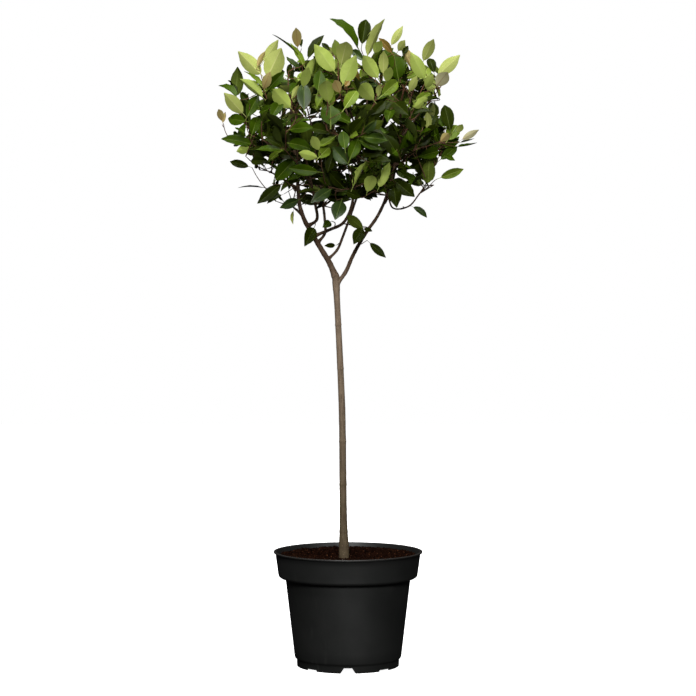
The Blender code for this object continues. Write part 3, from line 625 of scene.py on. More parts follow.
class Turned:
    """Rings of points round the upright axis, and the mesh between them."""

    def __init__(self, segments: int) -> None:
        """Starts with no ring. A full ring will have this many points."""
        self.segments, self.points, self.rings = segments, [], []

    def ring(self, radius: float, height: float | Callable[[float, float], float]) -> None:
        """Adds a ring, or a pole where its radius is nothing.

        Args:
            radius: Its radius.
            height: Its height, or what gives the height at a place.
        """
        count = self.segments if radius else 1
        self.rings.append(list(range(len(self.points), len(self.points) + count)))
        for i in range(count):
            angle = math.tau * i / self.segments
            x, y = radius * math.cos(angle), radius * math.sin(angle)
            self.points.append(Vector((x, y, height(x, y) if callable(height) else height)))

    def mesh(self, name: str, closed: bool = False, smooth: bool = True) -> Mesh:
        """Joins each ring to the next.

        Args:
            name: The mesh's name.
            closed: Whether the last ring joins the first.
            smooth: Whether it is shaded smooth.

        Returns:
            The mesh.
        """
        faces = []
        for low, high in zip(self.rings, self.rings[1:] + self.rings[:closed]):
            for i in range(self.segments):
                j = i + 1
                corners = (low[i % len(low)], low[j % len(low)], high[j % len(high)], high[i % len(high)])
                distinct = tuple(dict.fromkeys(corners))
                if len(distinct) > 2:
                    faces.append(distinct)
        return mesh_of(name, self.points, faces, smooth)


# ---------------------------------------------------------------- pot and compost


@dataclass
class NurseryPot:
    """The thin-walled pot: lip, rim band, tapering wall, and a foot ring with notches and ribs under the floor."""

    height: float = 0.200
    segments: int = 160
    wall: float = 0.0020
    lip_radius: float = 0.1300
    lip_height: float = 0.0030
    band_top: float = 0.1266
    band_foot: float = 0.1216
    band_foot_z: float = 0.1600
    band_corner: float = 0.0060
    body_top: float = 0.1092
    body_foot: float = 0.0932
    step_z: float = 0.0135
    foot_radius: float = 0.0894
    foot_wall: float = 0.0030
    floor_z: float = 0.0105
    hub_radius: float = 0.0140
    rib_width: float = 0.0026
    rib_z: float = 0.0040
    notches: int = 4
    notch: tuple[float, float, float] = (0.0290, 0.0140, 0.0094)
    slot: tuple[float, float, float] = (0.0240, 0.0240, 0.0030)

    def outline(self) -> list[Spot]:
        """The closed outline that is turned round, from the foot up the outside and down the inside.

        Returns:
            Its points.
        """
        shoulder = self.band_foot_z - self.band_corner
        lip_z = self.height - self.lip_height
        outer = [(self.foot_radius - 0.0012, 0.0), (self.foot_radius - 0.0004, 0.0004), (self.foot_radius, 0.0012)]
        outer += [(self.foot_radius, self.step_z - 0.0022), (self.foot_radius + 0.0006, self.step_z - 0.0006)]
        outer += [(self.body_foot - 0.0008, self.step_z + 0.0014), (self.body_foot, self.step_z + 0.0034)]
        outer += self.straight(outer[-1], (self.body_top, shoulder - 0.0008), 8)
        outer += [(self.body_top + 0.0008, shoulder)]
        outer += self.arc((self.band_foot - self.band_corner, self.band_foot_z), self.band_corner, -88, 0, 9)
        outer += self.straight((self.band_foot, self.band_foot_z), (self.band_top, lip_z - 0.001), 4)
        outer += [(self.band_top + 0.0008, lip_z), (self.lip_radius - 0.0004, lip_z + 0.0004)]
        outer += self.arc((self.lip_radius - 0.0009, self.height - 0.0012), 0.0010, -60, 90, 6)
        outer += [(self.band_top - 0.0004, self.height), (self.band_top - 0.0014, self.height - 0.0006)]
        inner = [
            (self.band_top - self.wall, lip_z),
            (self.band_foot - self.wall, self.band_foot_z + 0.0010),
            (self.band_foot - self.wall - 0.0012, self.band_foot_z - 0.0022),
            (self.band_foot - self.wall - 0.0040, shoulder + self.wall),
            (self.body_top - self.wall, shoulder + self.wall - 0.0006),
            (self.body_foot - self.wall, self.step_z + 0.0040),
            (self.body_foot - self.wall - 0.0040, self.floor_z + self.wall),
            (0.0, self.floor_z + self.wall),
        ]
        under = [
            (0.0, 0.0),
            (self.hub_radius, 0.0),
            (self.hub_radius, self.floor_z),
            (self.foot_radius - self.foot_wall - 0.001, self.floor_z),
            (self.foot_radius - self.foot_wall, 0.0),
        ]
        return outer + inner + under

    @staticmethod
    def straight(start: Spot, end: Spot, steps: int) -> list[Spot]:
        """Points of a straight wall, after its first."""
        return [tuple(a + (b - a) * i / steps for a, b in zip(start, end)) for i in range(1, steps + 1)]

    @staticmethod
    def arc(centre: Spot, radius: float, start: float, end: float, steps: int) -> list[Spot]:
        """Points of a round corner about a centre, between two angles in degrees."""
        angles = (math.radians(start + (end - start) * i / steps) for i in range(steps + 1))
        return [(centre[0] + radius * math.cos(a), centre[1] + radius * math.sin(a)) for a in angles]

    def shell(self) -> Object:
        """Turns the outline into the pot's body.

        Returns:
            The body, before it is cut.
        """
        turned = Turned(self.segments)
        for radius, height in self.outline():
            turned.ring(radius, height)
        return place_object("pot_shell", turned.mesh("pot_shell", closed=True, smooth=False))

    def bar(self, sizes: tuple[float, float, float], floor: float, inner: float, outer: float, turn: float) -> Object:
        """A bar along a radius, to cut or to add.

        Args:
            sizes: Its width below, its width above and the height of its top.
            floor: The height of its underside.
            inner: The radius where it starts.
            outer: The radius where it ends.
            turn: Its angle round the pot.

        Returns:
            The bar.
        """
        low, high, top = sizes
        section = [(-low / 2, floor), (low / 2, floor), (high / 2, top), (-high / 2, top)]
        points = [Vector((along, across, up)) for along in (inner, outer) for across, up in section]
        faces = [(0, 1, 2, 3), (7, 6, 5, 4)] + [(i, (i + 1) % 4, (i + 1) % 4 + 4, i + 4) for i in range(4)]
        turning = Matrix.Rotation(turn, 3, "Z")
        return place_object("bar", mesh_of("bar", [turning @ p for p in points], faces, smooth=False))

    def build(self, finish: PotPlastic) -> None:
        """Cuts the notches, adds the ribs and dresses the pot.

        Args:
            finish: The plastic.
        """
        pot = self.shell()
        inner, outer = self.foot_radius - 0.012, self.foot_radius + 0.010
        tools = []
        for i in range(self.notches):
            turn = math.tau * (i + 0.25 * self.notches) / self.notches
            between = turn + math.pi / self.notches
            tools.append((self.bar(self.notch, -0.002, inner, outer, turn), "DIFFERENCE"))
            tools.append((self.bar(self.slot, -0.002, inner, outer, between), "DIFFERENCE"))
        for i in range(self.notches):
            turn = math.tau * (i + 0.5) / self.notches
            sizes = (self.rib_width, self.rib_width, self.floor_z + self.wall / 2)
            reach = self.foot_radius - self.foot_wall + 0.0008
            tools.append((self.bar(sizes, self.rib_z, self.hub_radius - 0.002, reach, turn), "UNION"))
        for tool, operation in tools:
            modifier = pot.modifiers.new(operation, "BOOLEAN")
            modifier.operation, modifier.solver, modifier.object = operation, "EXACT", tool
        plain_mesh(pot)
        for tool, _ in tools:
            bpy.data.objects.remove(tool)
        pot.data.materials.clear()
        pot.data.materials.append(finish.material())
        pot.data.shade_smooth()
        pot.data.set_sharp_from_angle(angle=math.radians(38))
        deliver(pot, ["pot"])


@dataclass
class Compost:
    """The peat that fills the pot: a lumpy bed, loose crumbs and a few fibres on it."""

    edge_z: float = 0.1905
    heap_z: float = 0.1930
    middle_z: float = 0.1868
    edge_radius: float = 0.1228
    foot_radius: float = 0.0870
    foot_z: float = 0.0135
    sides: tuple = ((0.1184, 0.1620), (0.1060, 0.1535))
    lump: float = 0.0056
    rings: int = 56
    segments: int = 150
    crumb_rings: int = 24
    crumb_margin: float = 0.0025
    crumb_lift: float = 0.0003
    crumb_scale: tuple[float, float] = (0.45, 1.5)
    crumb_seed: int = 11
    # radius and stretch of each kind, the last one a fibre
    crumb_shapes: tuple = (
        (0.0014, (1.0, 0.8, 0.7)), (0.0021, (1.0, 0.9, 0.7)), (0.0010, (1.2, 0.7, 0.8)), (0.0011, (2.6, 0.3, 0.3)),
    )
    density: float = 105000.0

    def surface_height(self, x: float, y: float) -> float:
        """The bed's height at a place, lumpy at two sizes.

        Args:
            x: The place across.
            y: The place from front to back.

        Returns:
            The height.
        """
        share = min(math.hypot(x, y) / self.edge_radius, 1.0)
        climb = min(max((share - 0.22) / 0.58, 0.0), 1.0)
        heaped = self.middle_z + (self.heap_z - self.middle_z) * climb * climb * (3 - 2 * climb)
        fall = max((share - 0.84) / 0.16, 0.0) ** 2
        coarse = noise.noise(Vector((x * 55, y * 55, 3.1)))
        fine = noise.noise(Vector((x * 240, y * 240, 8.7)))
        lumps = self.lump * (0.75 * coarse * climb + 0.32 * fine)
        return heaped + (self.edge_z - self.heap_z) * fall + lumps * (1 - share**10)

    def bed(self) -> Mesh:
        """The lumpy top with its sides and underside.

        Returns:
            A closed mesh.
        """
        turned = Turned(self.segments)
        for k in range(self.rings + 1):
            turned.ring(self.edge_radius * k / self.rings, self.surface_height)
        for radius, height in (*self.sides, (self.foot_radius, self.foot_z), (0.0, self.foot_z)):
            turned.ring(radius, height)
        return turned.mesh("compost_bed")

    def top(self) -> Mesh:
        """The part of the bed's top that crumbs lie on.

        Returns:
            An open mesh.
        """
        turned = Turned(self.segments)
        for k in range(self.crumb_rings + 1):
            radius = (self.edge_radius - self.crumb_margin) * k / self.crumb_rings
            turned.ring(radius, lambda x, y: self.surface_height(x, y) + self.crumb_lift)
        return turned.mesh("compost_top")

    def crumb_kinds(self) -> bpy.types.Collection:
        """A few crumbs and fibres, off the scene.

        Returns:
            Their collection.
        """
        kinds = bpy.data.collections.new("crumb kinds")
        rng = random.Random("crumbs")
        for size, stretch in self.crumb_shapes:
            bm = bmesh.new()
            bmesh.ops.create_icosphere(bm, subdivisions=1, radius=size)
            for vert in bm.verts:
                vert.co = Vector([vert.co[i] * stretch[i] * rng.uniform(0.72, 1.22) for i in range(3)])
            mesh = bpy.data.meshes.new("crumb")
            bm.to_mesh(mesh)
            bm.free()
            kinds.objects.link(bpy.data.objects.new("crumb", mesh))
        return kinds

    def build(self, finish: Peat) -> None:
        """Makes the bed and its crumbs.

        Args:
            finish: The peat.
        """
        material = finish.material()
        deliver(place_object("compost_bed", self.bed(), material), ["soil"])
        inputs = {"Crumbs": self.crumb_kinds(), "Density": self.density, "Smallest": self.crumb_scale[0]}
        inputs |= {"Largest": self.crumb_scale[1], "Seed": self.crumb_seed, "Material": material}
        deliver(crumb_recipe().run("compost_crumbs", self.top(), inputs), ["soil"])


# ---------------------------------------------------------------- paths


def through(points: Sequence, count: int) -> list[Vector]:
    """A smooth (Catmull-Rom) path through points.

    Args:
        points: Where it passes.
        count: How many pieces it has.

    Returns:
        The path.
    """
    pts = [Vector(p) for p in points]
    pts = [2 * pts[0] - pts[1], *pts, 2 * pts[-1] - pts[-2]]
    spans = len(pts) - 3
    path = []
    for i in range(count + 1):
        at = min(spans * i / count, spans - 1e-9)
        k, t = int(at), at - int(at)
        a, b, c, d = pts[k : k + 4]
        path.append(0.5 * (2 * b + (c - a) * t + (2 * a - 5 * b + 4 * c - d) * t**2 + (3 * b - a - 3 * c + d) * t**3))
    return path


def bent(start: Vector, direction: Vector, end: Vector, pieces: int, arrival: Vector | None = None) -> list[Vector]:
    """A path that leaves along a direction and curves to its end, with its last stretch turned a little upwards.

    Args:
        start: Where it starts.
        direction: The way it sets off.
        end: Where it ends.
        pieces: How many pieces it has.
        arrival: The way it arrives, if that is settled.

    Returns:
        The path.
    """
    reach = (end - start).length
    out = start + direction.normalized() * reach * 0.35
    back = end - (arrival or (end - start).normalized().lerp(UP, 0.35)).normalized() * reach * 0.35
    path = []
    for i in range(pieces + 1):
        t = i / pieces
        path.append((1 - t) ** 3 * start + 3 * (1 - t) ** 2 * t * out + 3 * (1 - t) * t**2 * back + t**3 * end)
    return path


def path_length(path: Sequence[Vector]) -> float:
    """The length along a path."""
    return sum((b - a).length for a, b in zip(path, path[1:]))


def tapered(first: float, last: float, pieces: int) -> list[float]:
    """Radii along a path of so many pieces, from its first to its last."""
    return [first + (last - first) * i / pieces for i in range(pieces + 1)]


def point_at(path: Sequence[Vector], share: float) -> tuple[Vector, Vector]:
    """The point and the direction at a share of a path's length.

    Args:
        path: The path.
        share: From 0 at its start to 1 at its end.

    Returns:
        The point and the direction there.
    """
    target = share * path_length(path)
    for a, b in zip(path, path[1:]):
        step = (b - a).length
        if target <= step or b is path[-1]:
            return a.lerp(b, min(target / step, 1.0)), (b - a).normalized()
        target -= step
    return path[-1], (path[-1] - path[-2]).normalized()


def tube(path: Sequence[Vector], radii: Sequence[float], sides: int) -> tuple[list[Vector], Faces]:
    """A closed tapering tube along a path, as points and faces, for tests of room.

    Args:
        path: Its axis.
        radii: Its radius at each point.
        sides: How many sides it has.

    Returns:
        The points and the faces.
    """
    last = len(path) - 1
    across = (path[1] - path[0]).normalized().orthogonal().normalized()
    points, faces = [], []
    for i, (point, radius) in enumerate(zip(path, radii)):
        tangent = (path[min(i + 1, last)] - path[max(i - 1, 0)]).normalized()
        across = (across - tangent * across.dot(tangent)).normalized()
        other = tangent.cross(across)
        for k in range(sides):
            angle = math.tau * k / sides
            points.append(point + radius * (across * math.cos(angle) + other * math.sin(angle)))
    for i in range(last):
        for k in range(sides):
            a, b = i * sides + k, i * sides + (k + 1) % sides
            faces.append((a, b, b + sides, a + sides))
    faces.append(tuple(reversed(range(sides))))
    faces.append(tuple(range(last * sides, (last + 1) * sides)))
    return points, faces


def chain_mesh(points: Sequence[Vector], edges: Sequence[tuple[int, int]], radii: Sequence[float]) -> Mesh:
    """Chains of edges whose points carry their radius.

    Args:
        points: The points of all the chains.
        edges: The two ends of each edge.
        radii: The radius at each point.

    Returns:
        The mesh.
    """
    mesh = bpy.data.meshes.new("chains")
    mesh.from_pydata([tuple(point) for point in points], edges, [])
    mesh.attributes.new("radius", "FLOAT", "POINT").data.foreach_set("value", radii)
    return mesh


def search_tree(shapes: Iterable[tuple[list[Vector], Faces]]) -> BVHTree:
    """One search tree over several shapes.

    Args:
        shapes: Points and faces of each.

    Returns:
        The tree.
    """
    points, faces = [], []
    for some, around in shapes:
        offset = len(points)
        points += some
        faces += [tuple(offset + i for i in face) for face in around]
    return BVHTree.FromPolygons(points, faces)


# ---------------------------------------------------------------- the plan of the limbs and the crown


@dataclass
class Limb:
    """A limb's axis and its radius along it."""

    path: list[Vector]
    radii: list[float]
    sides: int

    def radius_at(self, share: float) -> float:
        """The radius at a share of the limb's pieces.

        Args:
            share: 0 at the foot, 1 at the tip.

        Returns:
            The radius.
        """
        at = share * (len(self.radii) - 1)
        k = min(int(at), len(self.radii) - 2)
        return self.radii[k] + (self.radii[k + 1] - self.radii[k]) * (at - k)

    def grown(self, by: float) -> tuple[list[Vector], Faces]:
        """The limb with its surface and its ends moved out.

        Args:
            by: How far.

        Returns:
            Its points and faces.
        """
        path = [p.copy() for p in self.path]
        path[0] += (path[0] - path[1]).normalized() * by
        path[-1] += (path[-1] - path[-2]).normalized() * by
        return tube(path, [r + by / math.cos(math.pi / self.sides) for r in self.radii], self.sides)


@dataclass(frozen=True)
class CrownShape:
    """The crown's rounded outline, the space of each mass in it, and the open places at its edge."""

    middles: dict[str, Vector]
    centre: Vector = Vector((0.0, 0.0, 0.930))
    radius: float = 0.2280
    rise: float = 0.1680
    drop: float = 0.1620
    power_high: float = 2.7
    power_low: float = 1.75
    reach: float = 0.095
    sky: tuple = (((0.218, 0.000, 0.988), 0.058),)

    def half(self, above: float) -> tuple[float, float]:
        """The height and the roundness of the upper half, or of the lower one for a place below the centre."""
        return (self.rise, self.power_high) if above > 0 else (self.drop, self.power_low)

    def contains(self, point: Vector, room: float) -> bool:
        """Whether a point is inside the outline.

        Args:
            point: The point.
            room: How far inside it has to be.

        Returns:
            True if it is.
        """
        away = point - self.centre
        tall, power = self.half(away.z)
        across = math.hypot(away.x, away.y) / (self.radius - room)
        return across**power + abs(away.z / (tall - room)) ** power <= 1.0

    def in_cell(self, name: str, point: Vector, room: float) -> bool:
        """Whether a point is nearer to one mass's middle than to any other.

        Args:
            name: The mass.
            point: The point.
            room: How far inside the border it has to be. Less than nothing lets it cross.

        Returns:
            True if it is.
        """
        own = self.middles[name]
        for other, middle in self.middles.items():
            between = middle - own
            if other != name and (point - (own + middle) / 2).dot(between.normalized()) > -room:
                return False
        return True

    def in_sky(self, point: Vector, room: float) -> bool:
        """Whether a point is in an open place."""
        return any((point - Vector(centre)).length < radius + room for centre, radius in self.sky)

    def keeps_to(self, name: str, point: Vector, room: float) -> bool:
        """Whether a point is in a mass's own space.

        Args:
            name: The mass.
            point: The point.
            room: How far inside it has to be.

        Returns:
            True if it is.
        """
        if (point - self.middles[name]).length > self.reach - room or not self.contains(point, room):
            return False
        return not self.in_sky(point, room) and self.in_cell(name, point, room)


@dataclass
class LimbPlan:
    """Where every limb runs: the stem, the boughs from its fork, and one bough to each mass."""

    gap: float = 0.0003
    limb_step: float = 0.028
    limb_sides: int = 6
    stem_sides: int = 12
    stem_foot: float = 0.0066
    stem_top: float = 0.0051
    knuckle: float = 0.0060
    flare: tuple[float, float] = (0.0090, 0.0200)
    branch_thick: float = 0.0023
    twig_base: float = 0.0017
    mass_depth: float = 0.060
    mass_entry: float = 0.046
    stem_pieces: int = 21
    fine_stem: int = 96
    fine_limb: int = 60

    CROWN_ROOT = Vector((0.0, 0.0, 0.800))
    STEM_AXIS = (
        (-0.0069, 0.0, 0.1871), (-0.0085, 0.0, 0.290), (-0.0104, 0.0, 0.446),
        (-0.0172, 0.0, 0.600), (-0.0212, 0.0, 0.676),
    )
    # name: parent, share of its length, first and last radius, way points, the mass it ends in
    LIMBS = {
        "bough_left": ("stem", 1.0, (0.0053, 0.0019), (
            (-0.0345, -0.001, 0.706), (-0.0560, -0.004, 0.741), (-0.0810, -0.008, 0.790), (-0.0880, -0.004, 0.850),
        ), "left_top"),
        "bough_right": ("stem", 0.975, (0.0037, 0.0018), (
            (-0.0050, 0.002, 0.684), (0.0085, 0.003, 0.714), (0.0260, 0.004, 0.746), (0.0660, 0.003, 0.815),
        ), "right_top"),
        "limb_front": ("bough_left", 0.30, (0.0028, 0.0017), ((-0.0540, -0.026, 0.786),), "front_left_high"),
        "limb_crossing": ("bough_left", 0.24, (0.0029, 0.0017), (
            (-0.0200, -0.010, 0.766), (0.0060, -0.020, 0.800),
        ), "top"),
        "limb_back": ("bough_left", 0.20, (0.0026, 0.0017), ((-0.0400, 0.022, 0.770),), "back_left_high"),
        "limb_centre": ("bough_left", 0.10, (0.0024, 0.0017), ((-0.0110, 0.018, 0.742),), "back_right_high"),
        "limb_low_right": ("bough_right", 0.52, (0.0016, 0.0013), (
            (0.0800, -0.004, 0.7945), (0.1080, -0.008, 0.8010),
        ), "right_low"),
    }
    # name: its furthest leaf tip and, unless a limb above ends in it, the limb and share that its own bough leaves
    MASSES = {
        "left_top": ((-0.130, 0.030, 1.096), None),
        "right_top": ((0.148, -0.010, 1.087), None),
        "top": ((0.055, -0.030, 1.121), None),
        "front_left_high": ((-0.120, -0.150, 1.045), None),
        "back_left_high": ((-0.090, 0.165, 1.040), None),
        "back_right_high": ((0.095, 0.165, 1.045), None),
        "right_low": ((0.201, -0.020, 0.866), None),
        "top_left": ((-0.031, 0.010, 1.121), ("limb_crossing", 0.52)),
        "left_high": ((-0.200, -0.020, 1.062), ("bough_left", 0.72)),
        "left": ((-0.226, 0.010, 0.985), ("bough_left", 0.58)),
        "left_low": ((-0.221, -0.020, 0.905), ("bough_left", 0.50)),
        "left_skirt": ((-0.175, 0.020, 0.825), ("bough_left", 0.36)),
        "right_high": ((0.197, 0.030, 1.055), ("bough_right", 0.80)),
        "right": ((0.228, 0.020, 0.935), ("bough_right", 0.66)),
        "right_skirt": ((0.132, -0.040, 0.838), ("bough_right", 0.46)),
        "middle_skirt": ((-0.045, -0.105, 0.775), ("limb_front", 0.28)),
        "front_right_high": ((0.110, -0.155, 1.045), ("bough_right", 0.74)),
        "front_high": ((-0.010, -0.180, 1.055), ("limb_crossing", 0.60)),
        "front_left": ((-0.135, -0.170, 0.925), ("limb_front", 0.40)),
        "front": ((0.000, -0.222, 0.935), ("limb_crossing", 0.46)),
        "front_right": ((0.140, -0.165, 0.920), ("bough_right", 0.62)),
        "front_low": ((0.010, -0.175, 0.845), ("limb_crossing", 0.36)),
        "back_left": ((-0.145, 0.165, 0.920), ("limb_back", 0.45)),
        "back": ((0.000, 0.218, 0.955), ("limb_centre", 0.60)),
        "back_right": ((0.140, 0.165, 0.920), ("limb_centre", 0.48)),
        "back_low": ((-0.010, 0.175, 0.845), ("limb_back", 0.32)),
    }

    def middles(self) -> dict[str, Vector]:
        """The middle of each mass's space.

        Returns:
            A point for each mass.
        """
        found = {}
        for name, (tip, _) in self.MASSES.items():
            inwards = self.CROWN_ROOT - Vector(tip)
            found[name] = Vector(tip) + inwards.normalized() * min(self.mass_depth, 0.45 * inwards.length)
        return found

    def entry(self, middle: Vector, start: Vector) -> Vector:
        """Where the limb from a start to a mass's middle ends."""
        inwards = start - middle
        return middle + inwards.normalized() * min(self.mass_entry, 0.55 * inwards.length)

    def stem_radius(self, share: float) -> float:
        """The stem's radius at a share of its height: it tapers, flares at its foot and swells under the fork.

        Args:
            share: From 0 at the foot to 1 at the fork.

        Returns:
            The radius.
        """
        height = share * (self.STEM_AXIS[-1][2] - self.STEM_AXIS[0][2])
        plain = self.stem_foot + (self.stem_top - self.stem_foot) * share
        flare = (self.flare[0] - self.stem_foot) * math.exp(-((height / self.flare[1]) ** 2) * 2)
        swell = (self.knuckle - self.stem_top) * math.exp(-(((share - 0.985) / 0.03) ** 2))
        return plain + flare + swell

    def plan(self) -> dict[str, Limb]:
        """Works out every limb.

        Returns:
            The limbs by name, parents first.
        """
        middles = self.middles()
        count = self.stem_pieces
        eased = [(i / count) ** 1.5 for i in range(count // 3)] + [i / count for i in range(count // 3, count + 1)]
        fine = through(self.STEM_AXIS, self.fine_stem)
        radii = [self.stem_radius(s) for s in eased]
        made = {"stem": Limb([point_at(fine, s)[0] for s in eased], radii, self.stem_sides)}
        for name, (parent, share, (thick, thin), way, mass) in self.LIMBS.items():
            start, heading = point_at(made[parent].path, share)
            if share == 1.0:
                start = start + heading * self.gap
            rough = through([start, *way, self.entry(middles[mass], Vector(way[-1]))], self.fine_limb)
            pieces = max(3, round(path_length(rough) / self.limb_step))
            path = [point_at(rough, i / pieces)[0] for i in range(pieces + 1)]
            radii = [thin + (thick - thin) * (1 - i / pieces) ** 1.4 for i in range(pieces + 1)]
            made[name] = Limb(path, radii, self.limb_sides)
        for mass, (_, place) in self.MASSES.items():
            if place is None:
                continue
            parent, share = place
            start, heading = point_at(made[parent].path, share)
            end = self.entry(middles[mass], start)
            aim = (heading + 1.2 * (end - start).normalized()).normalized()
            pieces = max(2, round((end - start).length / self.limb_step))
            thick = min(self.branch_thick, 0.85 * made[parent].radius_at(share))
            path = bent(start, aim, end, pieces)
            made["branch_" + mass] = Limb(path, tapered(thick, self.twig_base, pieces), self.limb_sides)
        return made

    def carrier(self, mass: str) -> str:
        """The limb that ends in a mass."""
        return next((name for name, row in self.LIMBS.items() if row[4] == mass), "branch_" + mass)


# ---------------------------------------------------------------- bark


class LimbSkins:
    """Meshes with the bark's relief for the stem and every limb."""

    SPACING = 0.021  # between the leaf scars of a limb
    # height and how much wider each old leaf scar is on the stem
    SCARS = ((0.234, 0.05), (0.272, 0.04), (0.316, 0.07), (0.391, 0.07), (0.518, 0.07), (0.594, 0.09), (0.655, 0.05))

    def __init__(self, limbs: dict[str, Limb]) -> None:
        """Keeps the limbs to cover."""
        self.limbs = limbs
        self.recipe = sweep_recipe()

    def scarred(self, name: str, point: Vector, along: float, radius: float, rng: random.Random) -> float:
        """The radius with the swellings of old leaf scars.

        Args:
            name: The limb.
            point: The place on its axis.
            along: How far that is from the limb's start, in metres.
            radius: The plain radius there.
            rng: The limb's own chance.

        Returns:
            The radius.
        """
        if name == "stem":
            rings = sum(more * math.exp(-(((point.z - height) / 0.0018) ** 2)) for height, more in self.SCARS)
            rings += 0.16 * math.exp(-(((point.z - 0.664) / 0.014) ** 2))
            short = max(0.0, 1 - (0.676 - point.z) / 0.007)
            uneven = 0.02 * noise.noise(Vector((0.0, 3.0, point.z * 45)))
            return radius * (1 + rings + uneven) * math.sqrt(1 - 0.8 * short**2)
        spacing = self.SPACING
        ring = 0.10 * math.exp(-((((along + 0.007) % spacing - spacing / 2) / 0.0016) ** 2))
        collar = 0.30 * math.exp(-((along / 0.012) ** 2)) if name == "bough_left" else 0.0
        if name != "bough_left":
            collar = 0.40 * math.exp(-(((along - 0.004) / 0.005) ** 2)) - 0.45 * max(0.0, 1 - along / 0.003)
        return radius * (1 + ring + collar + 0.03 * rng.uniform(-1, 1))

    def chain(self, names: Iterable[str], step: float) -> Mesh:
        """The axes of limbs as chains of edges whose points carry their radius.

        Args:
            names: The limbs.
            step: The length of one edge.

        Returns:
            The mesh.
        """
        points, radii, edges = [], [], []
        for name in names:
            limb = self.limbs[name]
            rng = random.Random("bark " + name)
            fine = through(limb.path, 12 * (len(limb.path) - 1))
            length = path_length(fine)
            pieces = max(6, round(length / step))
            first = len(points)
            if name == "bough_left":  # its foot is buried in the stem
                stem = self.limbs["stem"].path
                for back in (0.020, 0.014, 0.008, 0.003):
                    points.append(point_at(stem, 1 - back / path_length(stem))[0])
                    radii.append(limb.radii[0] * (1.30 - 18 * back))
            for i in range(pieces + 1):
                share = i / pieces
                point, _ = point_at(fine, share)
                points.append(point)
                radii.append(self.scarred(name, point, share * length, limb.radius_at(share), rng))
            edges += [(k, k + 1) for k in range(first, len(points) - 1)]
        return chain_mesh(points, edges, radii)

    def build(self) -> None:
        """Covers the stem, the boughs and the branches."""
        stages = ((srgb(132, 114, 96), 0.26, 0.60), (srgb(74, 55, 40), 0.655, 0.700), (srgb(64, 46, 32), 0.70, 0.76))
        bark = Bark("bark_limbs", srgb(82, 71, 53), stages, srgb(46, 34, 22)).material()
        pieces = [
            ("stem_bark", ["stem"], 40, 0.0012, 0.0009, 260.0),
            ("bough_bark", [n for n in self.limbs if n != "stem" and "branch_" not in n], 18, 0.0014, 0.0006, 380.0),
            ("branch_bark", [n for n in self.limbs if "branch_" in n], 14, 0.0018, 0.0004, 420.0),
        ]
        for name, nodes, sides, step, relief, scale in pieces:
            inputs = {"Sides": sides, "Step": step, "Relief": relief, "Relief Scale": scale, "Material": bark}
            deliver(self.recipe.run(name, self.chain(nodes, step), inputs), nodes)


# ---------------------------------------------------------------- leaves


